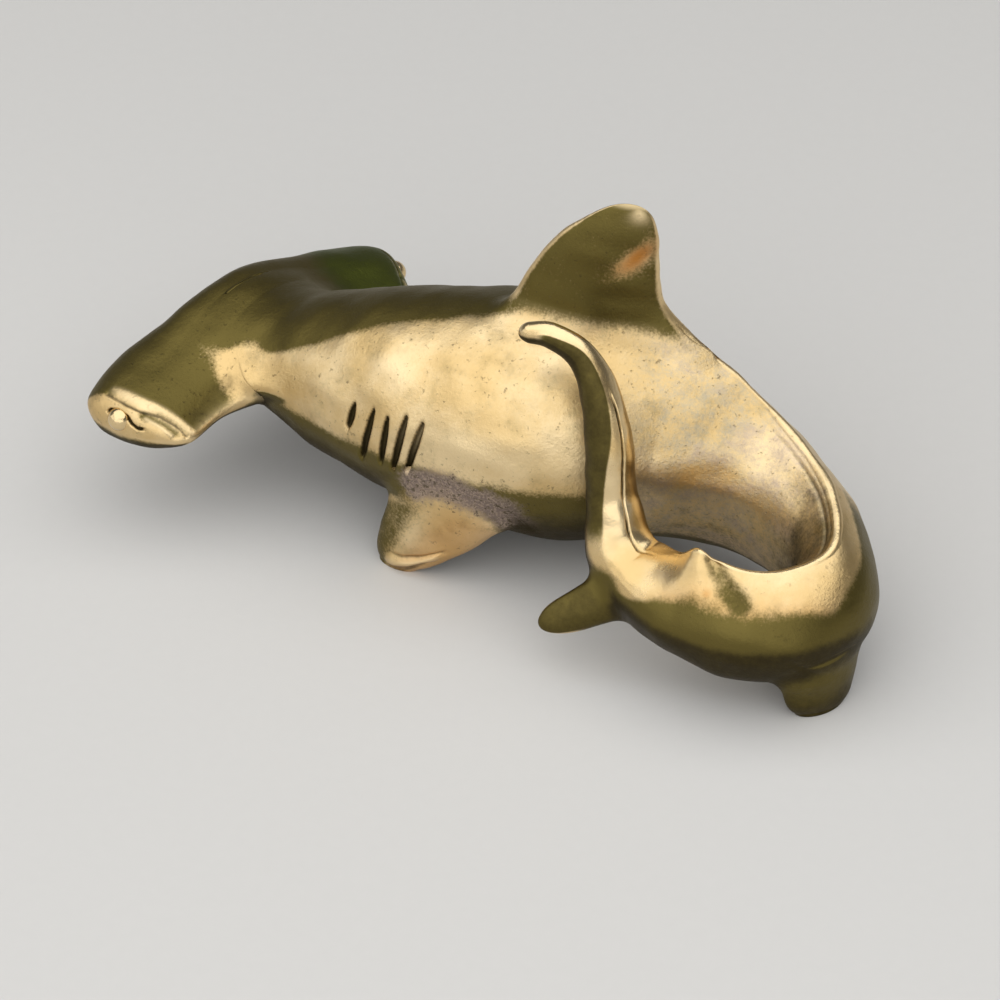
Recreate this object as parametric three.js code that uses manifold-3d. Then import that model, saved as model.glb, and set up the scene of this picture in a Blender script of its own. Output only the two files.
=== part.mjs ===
// Hammerhead shark figurine: a curled brass shark of eleven castings, pegged and brazed together.
// Millimetres, +Z up. The head is towards -X, the back is up, and the tail curls round the shark's left side.
// The castings are placed on a table at Z = 0, and the whole group is then centred on its own box.

import * as THREE from 'three';
import Module from 'manifold-3d';

const wasm = await Module();
wasm.setup();

// Joints between castings
const SEAM_GAP = 0.3; // room for braze between two castings
const PEG_LENGTH = 3.4;
const HEAD_PEG_RADIUS = 2.4;
const TAIL_PEG_RADIUS = 1.4;
const FIN_PEG_RADIUS = 0.8;
const FIN_PEG_ABOVE = 1.0; // how far a fin's peg runs up into its blade

// Facets
const BODY_SIDES = 36;
const BODY_ROWS_PER_STATION = 5;
const TAIL_ROWS = 30;
const NECK_ROWS = 10;
const FIN_SIDES = 20;
const HEAD_ROWS = 29;
const HEAD_SIDES = 24;
const PEG_SIDES = 14;
const EYE_SIDES = 12;
const EYE_RINGS = 8;
const GILL_SIDES = 8;
const TIP_LIMIT = 0.9995; // where the last ring of a rounded tip stands, as a share of the way to its end

// The body from the throat to the tip of the tail, one station to a line.
// at: centre of the section. left, right, top, bottom: how far the section reaches from its centre.
// crest: 1 is a round back, 2 is a sharp one. back: where the back points.
const STATIONS = [
  { at: [-21.8, 20.8, 10.6], left: 3.0, right: 3.0, top: 2.0, bottom: 2.0, crest: 1.0, back: [0, 0, 1] },
  { at: [-17.0, 16.2, 11.1], left: 5.0, right: 5.0, top: 4.6, bottom: 4.4, crest: 1.0, back: [0, 0, 1] },
  { at: [-10.3, 12.2, 11.4], left: 7.2, right: 7.2, top: 7.6, bottom: 7.2, crest: 1.0, back: [0, 0, 1] },
  { at: [-2.8, 9.0, 11.6], left: 8.8, right: 8.8, top: 9.4, bottom: 9.0, crest: 1.0, back: [0, 0, 1] },
  { at: [5.5, 7.0, 11.6], left: 9.2, right: 8.6, top: 10.2, bottom: 10.0, crest: 1.1, back: [0, 0, 1] },
  { at: [13.5, 5.4, 11.2], left: 7.0, right: 5.2, top: 9.2, bottom: 9.2, crest: 1.6, back: [0, 0, 1] },
  { at: [20.3, 1.8, 9.8], left: 4.6, right: 3.6, top: 6.8, bottom: 8.0, crest: 1.9, back: [0, 0, 1] },
  { at: [24.6, -4.2, 8.4], left: 3.4, right: 3.3, top: 5.9, bottom: 6.4, crest: 1.8, back: [0, 0, 1] },
  { at: [24.7, -10.0, 7.7], left: 3.2, right: 3.8, top: 5.2, bottom: 5.6, crest: 1.8, back: [0, 0, 1] },
  { at: [19.8, -12.2, 7.2], left: 3.2, right: 4.2, top: 5.0, bottom: 5.0, crest: 1.7, back: [0, 0, 1] },
  { at: [14.2, -10.2, 7.0], left: 3.0, right: 3.8, top: 4.4, bottom: 3.8, crest: 1.6, back: [0, 0, 1] },
  { at: [9.9, -6.6, 8.3], left: 2.0, right: 2.8, top: 3.0, bottom: 3.2, crest: 1.5, back: [0.7, 0.1, 0.7] },
  { at: [8.5, -4.6, 12.6], left: 1.4, right: 1.9, top: 2.2, bottom: 2.1, crest: 1.3, back: [1, 0.1, 0.2] },
  { at: [8.1, -3.2, 18.4], left: 1.2, right: 1.6, top: 1.8, bottom: 1.9, crest: 1.2, back: [1, 0.1, 0.1] },
  { at: [6.6, -1.4, 23.4], left: 1, right: 1.3, top: 1.35, bottom: 1.35, crest: 1.1, back: [0.8, 0.1, 0.6] },
  { at: [3.9, -0.4, 25.3], left: 0.8, right: 1.0, top: 1.1, bottom: 1.1, crest: 1.0, back: [0.35, 0, 0.9] },
  { at: [1.3, 0.4, 25.0], left: 0.7, right: 0.9, top: 0.9, bottom: 0.9, crest: 1.0, back: [0, 0, 1] },
];
const TAIL_TIP = STATIONS.length - 1;
const TIP_ROUNDING = 0.4; // stations over which the tail's tip closes
const NECK_START = 0.4; // station inside the wing where the head casting's neck starts
const NECK_SEAM = 1.55; // station where the head casting meets the trunk
const TAIL_SEAM = 10.4; // station where the tail casting meets the trunk
const LOWER_LOBE_BEHIND = 0.46; // stations from that seam to the middle of the tail's lower lobe

// Second dorsal fin: a low peak on the crest of the tail's root
const PEAK_STATION = 10.02;
const PEAK_LENGTH = 0.2; // stations
const PEAK_HEIGHT = 1.9;

// Head: a wing across the front of the neck
const HEAD_CENTRE = [-20.3, 19.5, 10.7];
const HEAD_HEADING = 134; // degrees from +X to where the shark looks
const HEAD_ROLL = 2; // degrees that its right lobe hangs lower than its left
const HEAD_HALF_SPAN = 14.8;
const HEAD_CHORD = 4.6; // half sizes, in the middle and at the tips
const HEAD_TIP_CHORD = 5.2;
const HEAD_THICK = 3.0;
const HEAD_TIP_THICK = 2.4;
const HEAD_SWEEP = 2.8; // how far the tips lie behind the middle
const HEAD_DROOP = 1.7; // how far the tips lie below the middle
const HEAD_TAPER = 0.3; // how much thicker the front edge is than the rear edge
const HEAD_TIP_POWER = 18; // how square the tips are
const HEAD_NOTCH = 1.5; // dip in the middle of the front edge
const NOTCH_SPREAD = 0.5; // share of the half span that the dip takes
const FAIRING_REACH = 4.8; // how far the wing runs back onto the neck
const FAIRING_CROWN = 1.2; // how far it swells there
const FAIRING_SPREAD = 0.5; // share of the half span that the fairing takes

// Eyes: beads in drilled sockets in the wing's tips
const EYE_RADIUS = 0.85;
const EYE_SIDE = 0.985; // share of the half span
const EYE_ANGLE = 63; // degrees round the tip from its front edge
const EYE_DEPTH_SIDE = 0.8; // share of the half span on the underside that the bead looks away from
const EYE_SINK = 0.5; // how far a bead's centre lies below the skin

// Gill slits: five lens-shaped cuts on each side of the trunk
const GILL_STATIONS = [2.27, 2.46, 2.63, 2.76, 2.88];
const GILL_ANGLES = [14, 9, 9, 9, 8]; // degrees above the right side's middle
const GILL_HALF_HEIGHTS = [1.4, 2.5, 2.6, 2.6, 2.4];
const GILL_HALF_WIDTH = 0.34;
const GILL_DEPTH = 0.75;
const GILL_LEAN = 0.38; // how far a slit's top leans towards the tail, as a share of its height

// Fins
// Every fin is a blade on the body's skin.
// station and angle: the middle of its root, for the shark's right side.
// reach: the way it stands, as shares along the body, out to its side and up. height: root to tip.
// depth: how far it starts below the skin, before it is cut to it.
// rootChord, tipChord, rootThick, tipThick: half sizes.
// rake and sweep: how far the tip lies towards the tail, as a straight slant and as a curve.
// flare: how far the root spreads on the skin. trail: how far its rear edge runs on.
const FINS = {
  dorsal: {
    station: 4.12, angle: 90, reach: [0, 0, 1], height: 11.2, depth: 1.8, rootChord: 6.0, tipChord: 2.7,
    rake: 0, sweep: 3.0, rootThick: 1.9, tipThick: 0.75, flare: 0.9, trail: 2.4, rows: 18,
  },
  pectoral: {
    station: 3.12, angle: -33, reach: [0, 0.08, -1], height: 7.5, depth: 3.6, rootChord: 4.3, tipChord: 2.1,
    rake: -4.4, sweep: 0, rootThick: 1.3, tipThick: 1.1, flare: 0.3, trail: 0, rows: 13,
  },
  pelvic: {
    station: 8.46, angle: -47, reach: [0, 0, -1], height: 4.0, depth: 2.8, rootChord: 2.5, tipChord: 1.7,
    rake: 0, sweep: 0.2, rootThick: 1.15, tipThick: 0.9, flare: 0.2, trail: 0, rows: 11,
  },
  lowerLobe: {
    station: TAIL_SEAM + LOWER_LOBE_BEHIND, angle: -70, reach: [0.33, 0.3, -0.89], height: 5.6, depth: 1.8,
    rootChord: 1.3, tipChord: 0.9, rake: 0, sweep: 0, rootThick: 1.2, tipThick: 0.7, flare: 0.5, trail: 0, rows: 11,
  },
};
const FLARE_SHARE = 0.35; // share of a fin's height over which its root flares
const FIN_TIP_POWER = 6; // how square a fin's tip is

const TABLE_SIZE = 200; // the block of air under the table that the feet are ground to

const vector = (xyz) => new THREE.Vector3(...xyz);
const through = (read) => (
  new THREE.CatmullRomCurve3(STATIONS.map((station) => vector(read(station))), false, 'catmullrom')
);
const spine = through((s) => s.at);
const widths = through((s) => [s.left, s.right, s.crest]);
const heights = through((s) => [s.top, s.bottom, 0]);
const backs = through((s) => s.back);

// Centre, directions and reach of the body's section at a station number, whole or not.
function bodyFrame(station) {
  const u = THREE.MathUtils.clamp(station / TAIL_TIP, 0, 1);
  const along = spine.getTangent(u);
  const right = backs.getPoint(u).cross(along).normalize();
  const up = along.clone().cross(right);
  const centre = spine.getPoint(u);
  return { centre, along, right, up, width: widths.getPoint(u), height: heights.getPoint(u) };
}

// A point of the body's skin, grown outwards. Angle 0 is the shark's right, and a quarter turn is its back.
function bodyPoint(station, angle, grow = 0) {
  const f = bodyFrame(station);
  const cos = Math.cos(angle);
  const sin = Math.sin(angle);
  const tip = Math.max(0, (station - TAIL_TIP + TIP_ROUNDING) / TIP_ROUNDING);
  const close = Math.sqrt(Math.max(0, 1 - tip * tip));
  const fromPeak = (station - PEAK_STATION) / PEAK_LENGTH;
  const peak = PEAK_HEIGHT * Math.exp(-(fromPeak ** 2)) * Math.max(0, sin) ** 4;
  const crest = sin > 0 ? f.width.z : 1;
  const reach = (cos > 0 ? f.width.y : f.width.x) * close + grow;
  const rise = (sin > 0 ? f.height.x : f.height.y) * close + peak + grow;
  return f.centre
    .addScaledVector(f.right, Math.sign(cos) * Math.abs(cos) ** crest * reach)
    .addScaledVector(f.up, sin * rise);
}

// Length of body from half a station before a station to half a station after it.
function stationPitch(station) {
  return bodyFrame(station - 0.5).centre.distanceTo(bodyFrame(station + 0.5).centre);
}

const solidOf = (positions, faces) => new wasm.Manifold(new wasm.Mesh({
  numProp: 3, vertProperties: new Float32Array(positions), triVerts: new Uint32Array(faces),
}));

// A closed solid from rings of points, with a point in the middle of each end.
function ringSolid(rings, startCap, endCap) {
  const sides = rings[0].length;
  const positions = [...rings.flat(), startCap, endCap].flatMap((point) => point.toArray());
  const start = rings.length * sides;
  const last = start - sides;
  const faces = [];
  for (let j = 0; j < sides; j++) {
    const k = (j + 1) % sides;
    faces.push(start, k, j, start + 1, last + j, last + k);
    for (let row = 0; row < last; row += sides) {
      faces.push(row + j, row + k, row + sides + j, row + k, row + sides + k, row + sides + j);
    }
  }
  const solid = solidOf(positions, faces);
  return solid.volume() > 0 ? solid : solidOf(positions, faces.reverse());
}

// The rings of a swept form: rows from 0 to 1, each with its points from angle 0 to a full turn.
function sweepRings(rows, sides, pointAt) {
  const steps = Array.from({ length: rows }, (_, i) => i / (rows - 1));
  const turns = Array.from({ length: sides }, (_, j) => (j / sides) * 2 * Math.PI);
  return steps.map((v) => turns.map((angle) => pointAt(v, angle)));
}

// A plain three.js geometry as a solid, scaled, turned so that its +Y points along a direction, and placed.
function placedSolid(geometry, point, direction, scale = [1, 1, 1]) {
  const turn = new THREE.Quaternion().setFromUnitVectors(vector([0, 1, 0]), direction.clone().normalize());
  const bare = geometry.applyMatrix4(new THREE.Matrix4().compose(point, turn, vector(scale)));
  const positions = [];
  const numbers = new Map();
  const place = bare.getAttribute('position');
  const order = Array.from(bare.index.array, (corner) => {
    const xyz = [place.getX(corner), place.getY(corner), place.getZ(corner)];
    const key = xyz.map((value) => value.toFixed(5)).join();
    if (!numbers.has(key)) {
      numbers.set(key, numbers.size);
      positions.push(...xyz);
    }
    return numbers.get(key);
  });
  const faces = [];
  for (let i = 0; i < order.length; i += 3) {
    const [a, b, c] = order.slice(i, i + 3);
    if (a !== b && b !== c && c !== a) faces.push(a, b, c);
  }
  return solidOf(positions, faces);
}

// A locating peg that ends at a point and starts PEG_LENGTH before it. With grow it is the peg's socket.
function pegSolid(point, outward, radius, grow = 0) {
  const length = PEG_LENGTH + grow;
  const middle = point.clone().addScaledVector(outward, -length / 2);
  const peg = new THREE.CylinderGeometry(radius + grow, radius + grow, length, PEG_SIDES);
  return placedSolid(peg, middle, outward);
}

// Body castings

// The body between two stations, grown outwards by a clearance. Rows crowd towards the tail's tip.
function bodySolid(from, to, rows, grow = 0) {
  const crowd = to > TAIL_TIP - TIP_ROUNDING;
  const at = (v) => from + (to - from) * (crowd ? Math.sin((v * Math.PI) / 2) : v);
  return ringSolid(sweepRings(rows, BODY_SIDES, (v, angle) => bodyPoint(at(v), angle, grow)),
    bodyFrame(from).centre, bodyFrame(to).centre);
}

// A peg across a seam between two lengths of the body, pointing into the trunk.
function seamPeg(station, towardTail, radius, grow = 0) {
  const { centre, along } = bodyFrame(station);
  const outward = along.multiplyScalar(towardTail ? -1 : 1);
  return pegSolid(centre.addScaledVector(outward, PEG_LENGTH / 3), outward, radius, grow);
}

// Fin castings

// A fin's root and directions, with side 1 for the shark's right and -1 for its left.
function finRoot(fin, side) {
  const angle = THREE.MathUtils.degToRad(side > 0 ? fin.angle : 180 - fin.angle);
  const f = bodyFrame(fin.station);
  const outward = f.along.clone().multiplyScalar(fin.reach[0])
    .addScaledVector(f.right, fin.reach[1] * side)
    .addScaledVector(f.up, fin.reach[2])
    .normalize();
  const across = f.along.clone().cross(outward).normalize();
  const skin = bodyPoint(fin.station, angle);
  const inward = bodyPoint(fin.station, angle, -1).sub(skin).normalize();
  return { angle, outward, across, skin, inward, pitch: stationPitch(fin.station) };
}

// The blade from below the skin to its tip, row by row.
function finBlade(fin, side) {
  const root = finRoot(fin, side);
  const pointAt = (v, angle) => {
    const height = Math.sin((v * Math.PI) / 2) * (fin.height + fin.depth) - fin.depth;
    const share = Math.max(0, height / fin.height);
    const flared = Math.max(0, 1 - share / FLARE_SHARE) ** 2;
    const close = Math.sqrt(1 - Math.min(share, TIP_LIMIT) ** FIN_TIP_POWER);
    const cos = Math.cos(angle);
    const flare = (fin.flare + (cos > 0 ? fin.trail * cos : 0)) * flared;
    const chord = THREE.MathUtils.lerp(fin.rootChord, fin.tipChord, share) * close + flare;
    const thick = THREE.MathUtils.lerp(fin.rootThick, fin.tipThick, share) * close + fin.flare * flared;
    const along = fin.rake * share + fin.sweep * share * share + cos * chord;
    return bodyPoint(fin.station + along / root.pitch, root.angle)
      .addScaledVector(root.outward, height)
      .addScaledVector(root.across, Math.sin(angle) * thick);
  };
  const middle = (v) => pointAt(v, 0).add(pointAt(v, Math.PI)).multiplyScalar(0.5);
  return ringSolid(sweepRings(fin.rows, FIN_SIDES, pointAt), middle(0), middle(1));
}

const finPeg = (fin, side, grow = 0) => {
  const { skin, outward, inward } = finRoot(fin, side);
  const seat = skin.addScaledVector(outward, FIN_PEG_ABOVE);
  return pegSolid(seat, outward.sub(inward).normalize(), FIN_PEG_RADIUS, grow);
};

// The blade cut to the body's skin, with its peg, and ground flat where it stands on the table.
function finSolid(fin, side) {
  const spread = (fin.rootChord + fin.flare) / stationPitch(fin.station) + 1;
  const from = Math.max(0, fin.station - spread);
  const to = Math.min(TAIL_TIP - TIP_ROUNDING, fin.station + spread);
  const skin = bodySolid(from, to, Math.ceil((to - from) * BODY_ROWS_PER_STATION) + 1, SEAM_GAP);
  return finBlade(fin, side).subtract(skin).add(finPeg(fin, side)).subtract(tableBlock);
}

const tableBlock = placedSolid(new THREE.BoxGeometry(TABLE_SIZE, TABLE_SIZE, TABLE_SIZE),
  vector([0, 0, -TABLE_SIZE / 2]), vector([0, 1, 0]));

// Head casting

const heading = THREE.MathUtils.degToRad(HEAD_HEADING);
const headForward = vector([Math.cos(heading), Math.sin(heading), 0]);
const headRight = vector([Math.sin(heading), -Math.cos(heading), 0])
  .applyAxisAngle(headForward, THREE.MathUtils.degToRad(HEAD_ROLL));
const headUp = headRight.clone().cross(headForward);

// A point of the wing's skin. side runs from -1 at the left tip to 1 at the right tip.
// Angle 0 is the front edge, and a quarter turn is the top.
function headPoint(side, angle) {
  const lean = Math.abs(side);
  const close = Math.sqrt(Math.max(0, 1 - lean ** HEAD_TIP_POWER));
  const fairing = Math.exp(-((side / FAIRING_SPREAD) ** 2));
  const notch = Math.exp(-((side / NOTCH_SPREAD) ** 2));
  const tangent = headRight.clone().multiplyScalar(HEAD_HALF_SPAN)
    .addScaledVector(headForward, -2 * HEAD_SWEEP * side)
    .addScaledVector(headUp, -2 * HEAD_DROOP * side)
    .normalize();
  const forward = headUp.clone().cross(tangent).normalize();
  const up = tangent.clone().cross(forward);
  const cos = Math.cos(angle);
  const half = THREE.MathUtils.lerp(HEAD_CHORD, HEAD_TIP_CHORD, lean) * close;
  const chord = half + (cos > 0 ? -HEAD_NOTCH * notch : FAIRING_REACH * fairing);
  const thick = THREE.MathUtils.lerp(HEAD_THICK, HEAD_TIP_THICK, lean) * close + FAIRING_CROWN * fairing;
  return vector(HEAD_CENTRE)
    .addScaledVector(headRight, side * HEAD_HALF_SPAN)
    .addScaledVector(headForward, -HEAD_SWEEP * side * side)
    .addScaledVector(headUp, -HEAD_DROOP * side * side)
    .addScaledVector(forward, cos * chord)
    .addScaledVector(up, Math.sin(angle) * thick * (1 + HEAD_TAPER * cos));
}

// An eye's bead, set into the wing's tip. With grow it is the bead's socket.
function eyeBall(side, grow = 0) {
  const eyeAngle = THREE.MathUtils.degToRad(EYE_ANGLE);
  const skin = headPoint(side * EYE_SIDE, eyeAngle);
  const inward = headPoint(side * EYE_DEPTH_SIDE, eyeAngle + Math.PI).sub(skin);
  const centre = skin.addScaledVector(inward.normalize(), EYE_SINK);
  return placedSolid(new THREE.SphereGeometry(EYE_RADIUS + grow, EYE_SIDES, EYE_RINGS), centre, inward);
}

// The wing, cut clear of the trunk, with the front of the neck, the eye sockets and the peg into the trunk.
function headSolid() {
  const sideAt = (v) => Math.sin((v - 0.5) * Math.PI) * TIP_LIMIT;
  const wing = ringSolid(sweepRings(HEAD_ROWS, HEAD_SIDES, (v, angle) => headPoint(sideAt(v), angle)),
    headPoint(-1, 0), headPoint(1, 0));
  const seam = NECK_SEAM - SEAM_GAP / stationPitch(NECK_SEAM);
  return wing.subtract(bodySolid(seam, seam + 1, BODY_ROWS_PER_STATION + 1, SEAM_GAP))
    .add(bodySolid(NECK_START, seam, NECK_ROWS))
    .subtract(eyeBall(-1, SEAM_GAP))
    .subtract(eyeBall(1, SEAM_GAP))
    .add(seamPeg(NECK_SEAM, true, HEAD_PEG_RADIUS));
}

// Trunk and tail castings

function gillCut(index, side) {
  const degrees = side > 0 ? GILL_ANGLES[index] : 180 - GILL_ANGLES[index];
  const angle = THREE.MathUtils.degToRad(degrees);
  const station = GILL_STATIONS[index];
  const { up, along } = bodyFrame(station);
  const upward = up.addScaledVector(along, GILL_LEAN);
  return placedSolid(new THREE.SphereGeometry(1, GILL_SIDES, GILL_SIDES), bodyPoint(station, angle), upward,
    [GILL_HALF_WIDTH, GILL_HALF_HEIGHTS[index], GILL_DEPTH]);
}

function trunkSolid() {
  const rows = Math.ceil((TAIL_SEAM - NECK_SEAM) * BODY_ROWS_PER_STATION) + 1;
  let solid = bodySolid(NECK_SEAM, TAIL_SEAM, rows)
    .subtract(seamPeg(NECK_SEAM, true, HEAD_PEG_RADIUS, SEAM_GAP))
    .subtract(seamPeg(TAIL_SEAM, false, TAIL_PEG_RADIUS, SEAM_GAP))
    .subtract(finPeg(FINS.dorsal, 1, SEAM_GAP));
  for (const side of [-1, 1]) {
    solid = solid.subtract(finPeg(FINS.pectoral, side, SEAM_GAP))
      .subtract(finPeg(FINS.pelvic, side, SEAM_GAP));
    for (let i = 0; i < GILL_STATIONS.length; i++) solid = solid.subtract(gillCut(i, side));
  }
  return solid;
}

function tailSolid() {
  const seam = TAIL_SEAM + SEAM_GAP / stationPitch(TAIL_SEAM);
  return bodySolid(seam, TAIL_TIP - TIP_ROUNDING * (1 - TIP_LIMIT), TAIL_ROWS)
    .add(seamPeg(TAIL_SEAM, false, TAIL_PEG_RADIUS))
    .subtract(finPeg(FINS.lowerLobe, 1, SEAM_GAP));
}

// Metals
const darkBrass = { color: 0x6e5c2c, roughness: 0.45, metalness: 1 };
const warmBrass = { color: 0xb8924c, roughness: 0.38, metalness: 1 };
const polishedBrass = { color: 0xc49a3e, roughness: 0.26, metalness: 1 };

function meshOf(name, solid, metal) {
  const { numProp, vertProperties, triVerts } = solid.getMesh();
  const geometry = new THREE.BufferGeometry();
  const stride = new THREE.InterleavedBuffer(vertProperties, numProp);
  geometry.setAttribute('position', new THREE.InterleavedBufferAttribute(stride, 3, 0));
  geometry.setIndex(new THREE.BufferAttribute(triVerts, 1));
  const mesh = new THREE.Mesh(geometry, new THREE.MeshStandardMaterial(metal));
  mesh.name = name;
  return mesh;
}

const shark = new THREE.Group();
shark.add(
  meshOf('head', headSolid(), darkBrass),
  meshOf('left_eye', eyeBall(-1), warmBrass),
  meshOf('right_eye', eyeBall(1), warmBrass),
  meshOf('trunk', trunkSolid(), warmBrass),
  meshOf('dorsal_fin', finSolid(FINS.dorsal, 1), warmBrass),
  meshOf('left_pectoral_fin', finSolid(FINS.pectoral, -1), warmBrass),
  meshOf('right_pectoral_fin', finSolid(FINS.pectoral, 1), warmBrass),
  meshOf('left_pelvic_fin', finSolid(FINS.pelvic, -1), polishedBrass),
  meshOf('right_pelvic_fin', finSolid(FINS.pelvic, 1), polishedBrass),
  meshOf('tail_upper_lobe', tailSolid(), polishedBrass),
  meshOf('tail_lower_lobe', finSolid(FINS.lowerLobe, 1), polishedBrass),
);

// The origin: the middle of the box on the table
const box = new THREE.Box3().setFromObject(shark);
const middle = box.getCenter(new THREE.Vector3());
shark.position.set(-middle.x, -middle.y, -box.min.z);

export default shark;
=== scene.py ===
"""Brass hammerhead shark figurine: its visible castings, their metals and the studio.

Shapes are drawn in millimetres on the castings' drawing axes: the table is at Z = 0, the head lies towards
-X and the tail curls round the shark's left side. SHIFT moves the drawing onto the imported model.
"""
import math

import bpy
import numpy as np
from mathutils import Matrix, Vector


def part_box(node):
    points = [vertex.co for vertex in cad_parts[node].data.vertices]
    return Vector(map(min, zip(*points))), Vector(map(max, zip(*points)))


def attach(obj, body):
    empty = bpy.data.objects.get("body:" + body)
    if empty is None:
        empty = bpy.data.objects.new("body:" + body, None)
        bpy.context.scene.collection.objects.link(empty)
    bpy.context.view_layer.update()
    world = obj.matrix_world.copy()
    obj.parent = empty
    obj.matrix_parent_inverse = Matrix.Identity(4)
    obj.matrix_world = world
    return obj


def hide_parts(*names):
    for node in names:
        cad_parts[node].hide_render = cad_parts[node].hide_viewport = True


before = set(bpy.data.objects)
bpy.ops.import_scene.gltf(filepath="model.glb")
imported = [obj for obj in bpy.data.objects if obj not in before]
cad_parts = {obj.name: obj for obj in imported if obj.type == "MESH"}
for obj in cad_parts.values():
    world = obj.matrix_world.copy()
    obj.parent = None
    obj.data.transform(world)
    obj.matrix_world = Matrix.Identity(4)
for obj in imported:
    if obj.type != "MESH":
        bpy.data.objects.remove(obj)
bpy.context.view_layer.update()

bl_info = {
    "name": "Brass Shark Figurine",
    "version": (1, 0, 0),
    "blender": (4, 5, 0),
    "location": "3D View > Sidebar > Shark Figurine",
    "description": "Builds the castings, metals and studio of a curled brass shark",
    "category": "Add Mesh",
}

MM = 0.001
ROUND = 2 * math.pi
SHIFT = np.array([1.8543, -7.4583, 0.0])

# The body from inside the head to the tip of the tail, one station to a line: centre x, y, z, then how far
# the section reaches left, right, up and down, then its crest (1 round, 2 sharp), then where the back points
STATIONS = np.array([
    (-21.8, 20.8, 10.6, 3.0, 3.0, 2.0, 2.0, 1.0, 0.0, 0.0, 1.0),
    (-17.0, 16.2, 11.1, 5.0, 5.0, 4.6, 4.4, 1.0, 0.0, 0.0, 1.0),
    (-10.3, 12.2, 11.4, 7.2, 7.2, 7.6, 7.2, 1.0, 0.0, 0.0, 1.0),
    (-2.8, 9.0, 11.6, 8.8, 8.8, 9.4, 9.0, 1.0, 0.0, 0.0, 1.0),
    (5.5, 7.0, 11.6, 9.2, 8.6, 10.2, 10.0, 1.1, 0.0, 0.0, 1.0),
    (13.5, 5.4, 11.2, 7.0, 5.2, 9.2, 9.2, 1.6, 0.0, 0.0, 1.0),
    (20.3, 1.8, 9.8, 4.6, 3.6, 6.8, 8.0, 1.9, 0.0, 0.0, 1.0),
    (24.6, -4.2, 8.4, 3.4, 3.3, 5.9, 6.4, 1.8, 0.0, 0.0, 1.0),
    (24.7, -10.0, 7.7, 3.2, 3.8, 5.2, 5.6, 1.8, 0.0, 0.0, 1.0),
    (19.8, -12.2, 7.2, 3.2, 4.2, 5.0, 5.0, 1.7, 0.0, 0.0, 1.0),
    (14.2, -10.2, 7.0, 3.0, 3.8, 4.4, 3.8, 1.6, 0.0, 0.0, 1.0),
    (9.9, -6.6, 8.3, 2.0, 2.8, 3.0, 3.2, 1.5, 0.7, 0.1, 0.7),
    (8.5, -4.6, 12.6, 1.4, 1.9, 2.2, 2.1, 1.3, 1.0, 0.1, 0.2),
    (8.1, -3.2, 18.4, 1.2, 1.6, 1.8, 1.9, 1.2, 1.0, 0.1, 0.1),
    (6.6, -1.4, 23.4, 1.0, 1.3, 1.35, 1.35, 1.1, 0.8, 0.1, 0.6),
    (3.9, -0.4, 25.3, 0.8, 1.0, 1.1, 1.1, 1.0, 0.35, 0.0, 0.9),
    (1.3, 0.4, 25.0, 0.7, 0.9, 0.9, 0.9, 1.0, 0.0, 0.0, 1.0),
])

# Stations where the neck starts inside the head, where head and trunk meet, where the gill slits start, where
# the trunk is clear of the head, where trunk and tail meet, and where the tail ends, rounded off at its end
NECK_START, NECK_SEAM, GILLS_START, THROAT, TAIL_SEAM = 0.75, 1.55, 2.2, 3.0, 10.4
TAIL_TIP, TIP_ROUNDING = len(STATIONS) - 1.0, 0.4

# The second dorsal peak: its station, how many stations it runs before and behind that, and its height
PEAK_STATION, PEAK_BEFORE, PEAK_BEHIND, PEAK_HEIGHT = 9.98, 0.58, 0.26, 1.85

# The rounded edge along a sharp crest: its radius, and how much sharper than round the crest is from where
# the edge has all of it
RIM_RADIUS, RIM_CREST = 0.5, 0.4

# How far each casting's skin runs on past a seam, where the rings on that way stand, and how deep a skin lies
# below its neighbour's one millimetre past the place where they meet
LAP, LAP_STEPS, LAP_SINK = 0.3, (0.15, 0.35, 0.6, 1.0), 0.8

# How far the neck and the head melt together, on top and below; the steps that find the melt; the share of
# that radius at which a nearer skin is taken to lie; and how deep and how far past its edge a sheet sinks
NECK_MELT, NECK_CREVICE = 4.6, 0.7
MELT_STEPS, MELT_FLOOR, MELT_DEEPEST, MELT_LAP = 14, 0.17, 0.8, 0.5

CAP_TILT = 1.45  # radians by which the first ring of the neck's rounded end leans towards its pole
FAR = 9.0  # millimetres; stands for a distance where nothing melts and nothing is drawn
SAMPLES = 120  # places tried along a line before the right one is worked out
POLE_GAP = 0.03  # radians that a rounded end leaves open round its closing point

# Rings and columns of the castings, the trunk's rings counted before, along and behind its gill slits
TRUNK_ROWS, TRUNK_COLUMNS = (34, 72, 290), 240
TAIL_ROWS, TIP_ROWS, TAIL_COLUMNS = 330, 30, 200
WING_ROWS, WING_TIP_ROWS, NECK_ROWS, CAP_ROWS, HEAD_COLUMNS = 170, 62, 90, 30, 236
EYE_ROWS, EYE_COLUMNS = 40, 64

# The head's wing: its centre, half sizes in the middle and at the tips, how its edges run, the notch in the
# middle of its front, the fairing behind and above its middle, how far along it distances are measured, and
# where the bend to its tips starts and the last ring before a tip's closing point stands
HEAD_CENTRE = np.array([-20.3, 19.5, 10.7])
HEAD_HEADING, HEAD_ROLL = math.radians(134), math.radians(2)
HALF_SPAN, CHORD, TIP_CHORD, THICK, TIP_THICK = 14.8, 4.6, 5.2, 3.0, 2.4
SWEEP, DROOP, TAPER, TIP_POWER = 2.8, 1.7, 0.3, 18
NOTCH, NOTCH_SPREAD = 1.5, 0.5
FAIRING_REACH, FAIRING_CROWN, FAIRING_SPREAD = 4.8, 1.2, 0.5
WING_END, WING_BEND, WING_GAP = 0.995, 0.86, 0.02
FORWARD = np.array([math.cos(HEAD_HEADING), math.sin(HEAD_HEADING), 0.0])
LEVEL_RIGHT = np.array([math.sin(HEAD_HEADING), -math.cos(HEAD_HEADING), 0.0])
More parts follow.
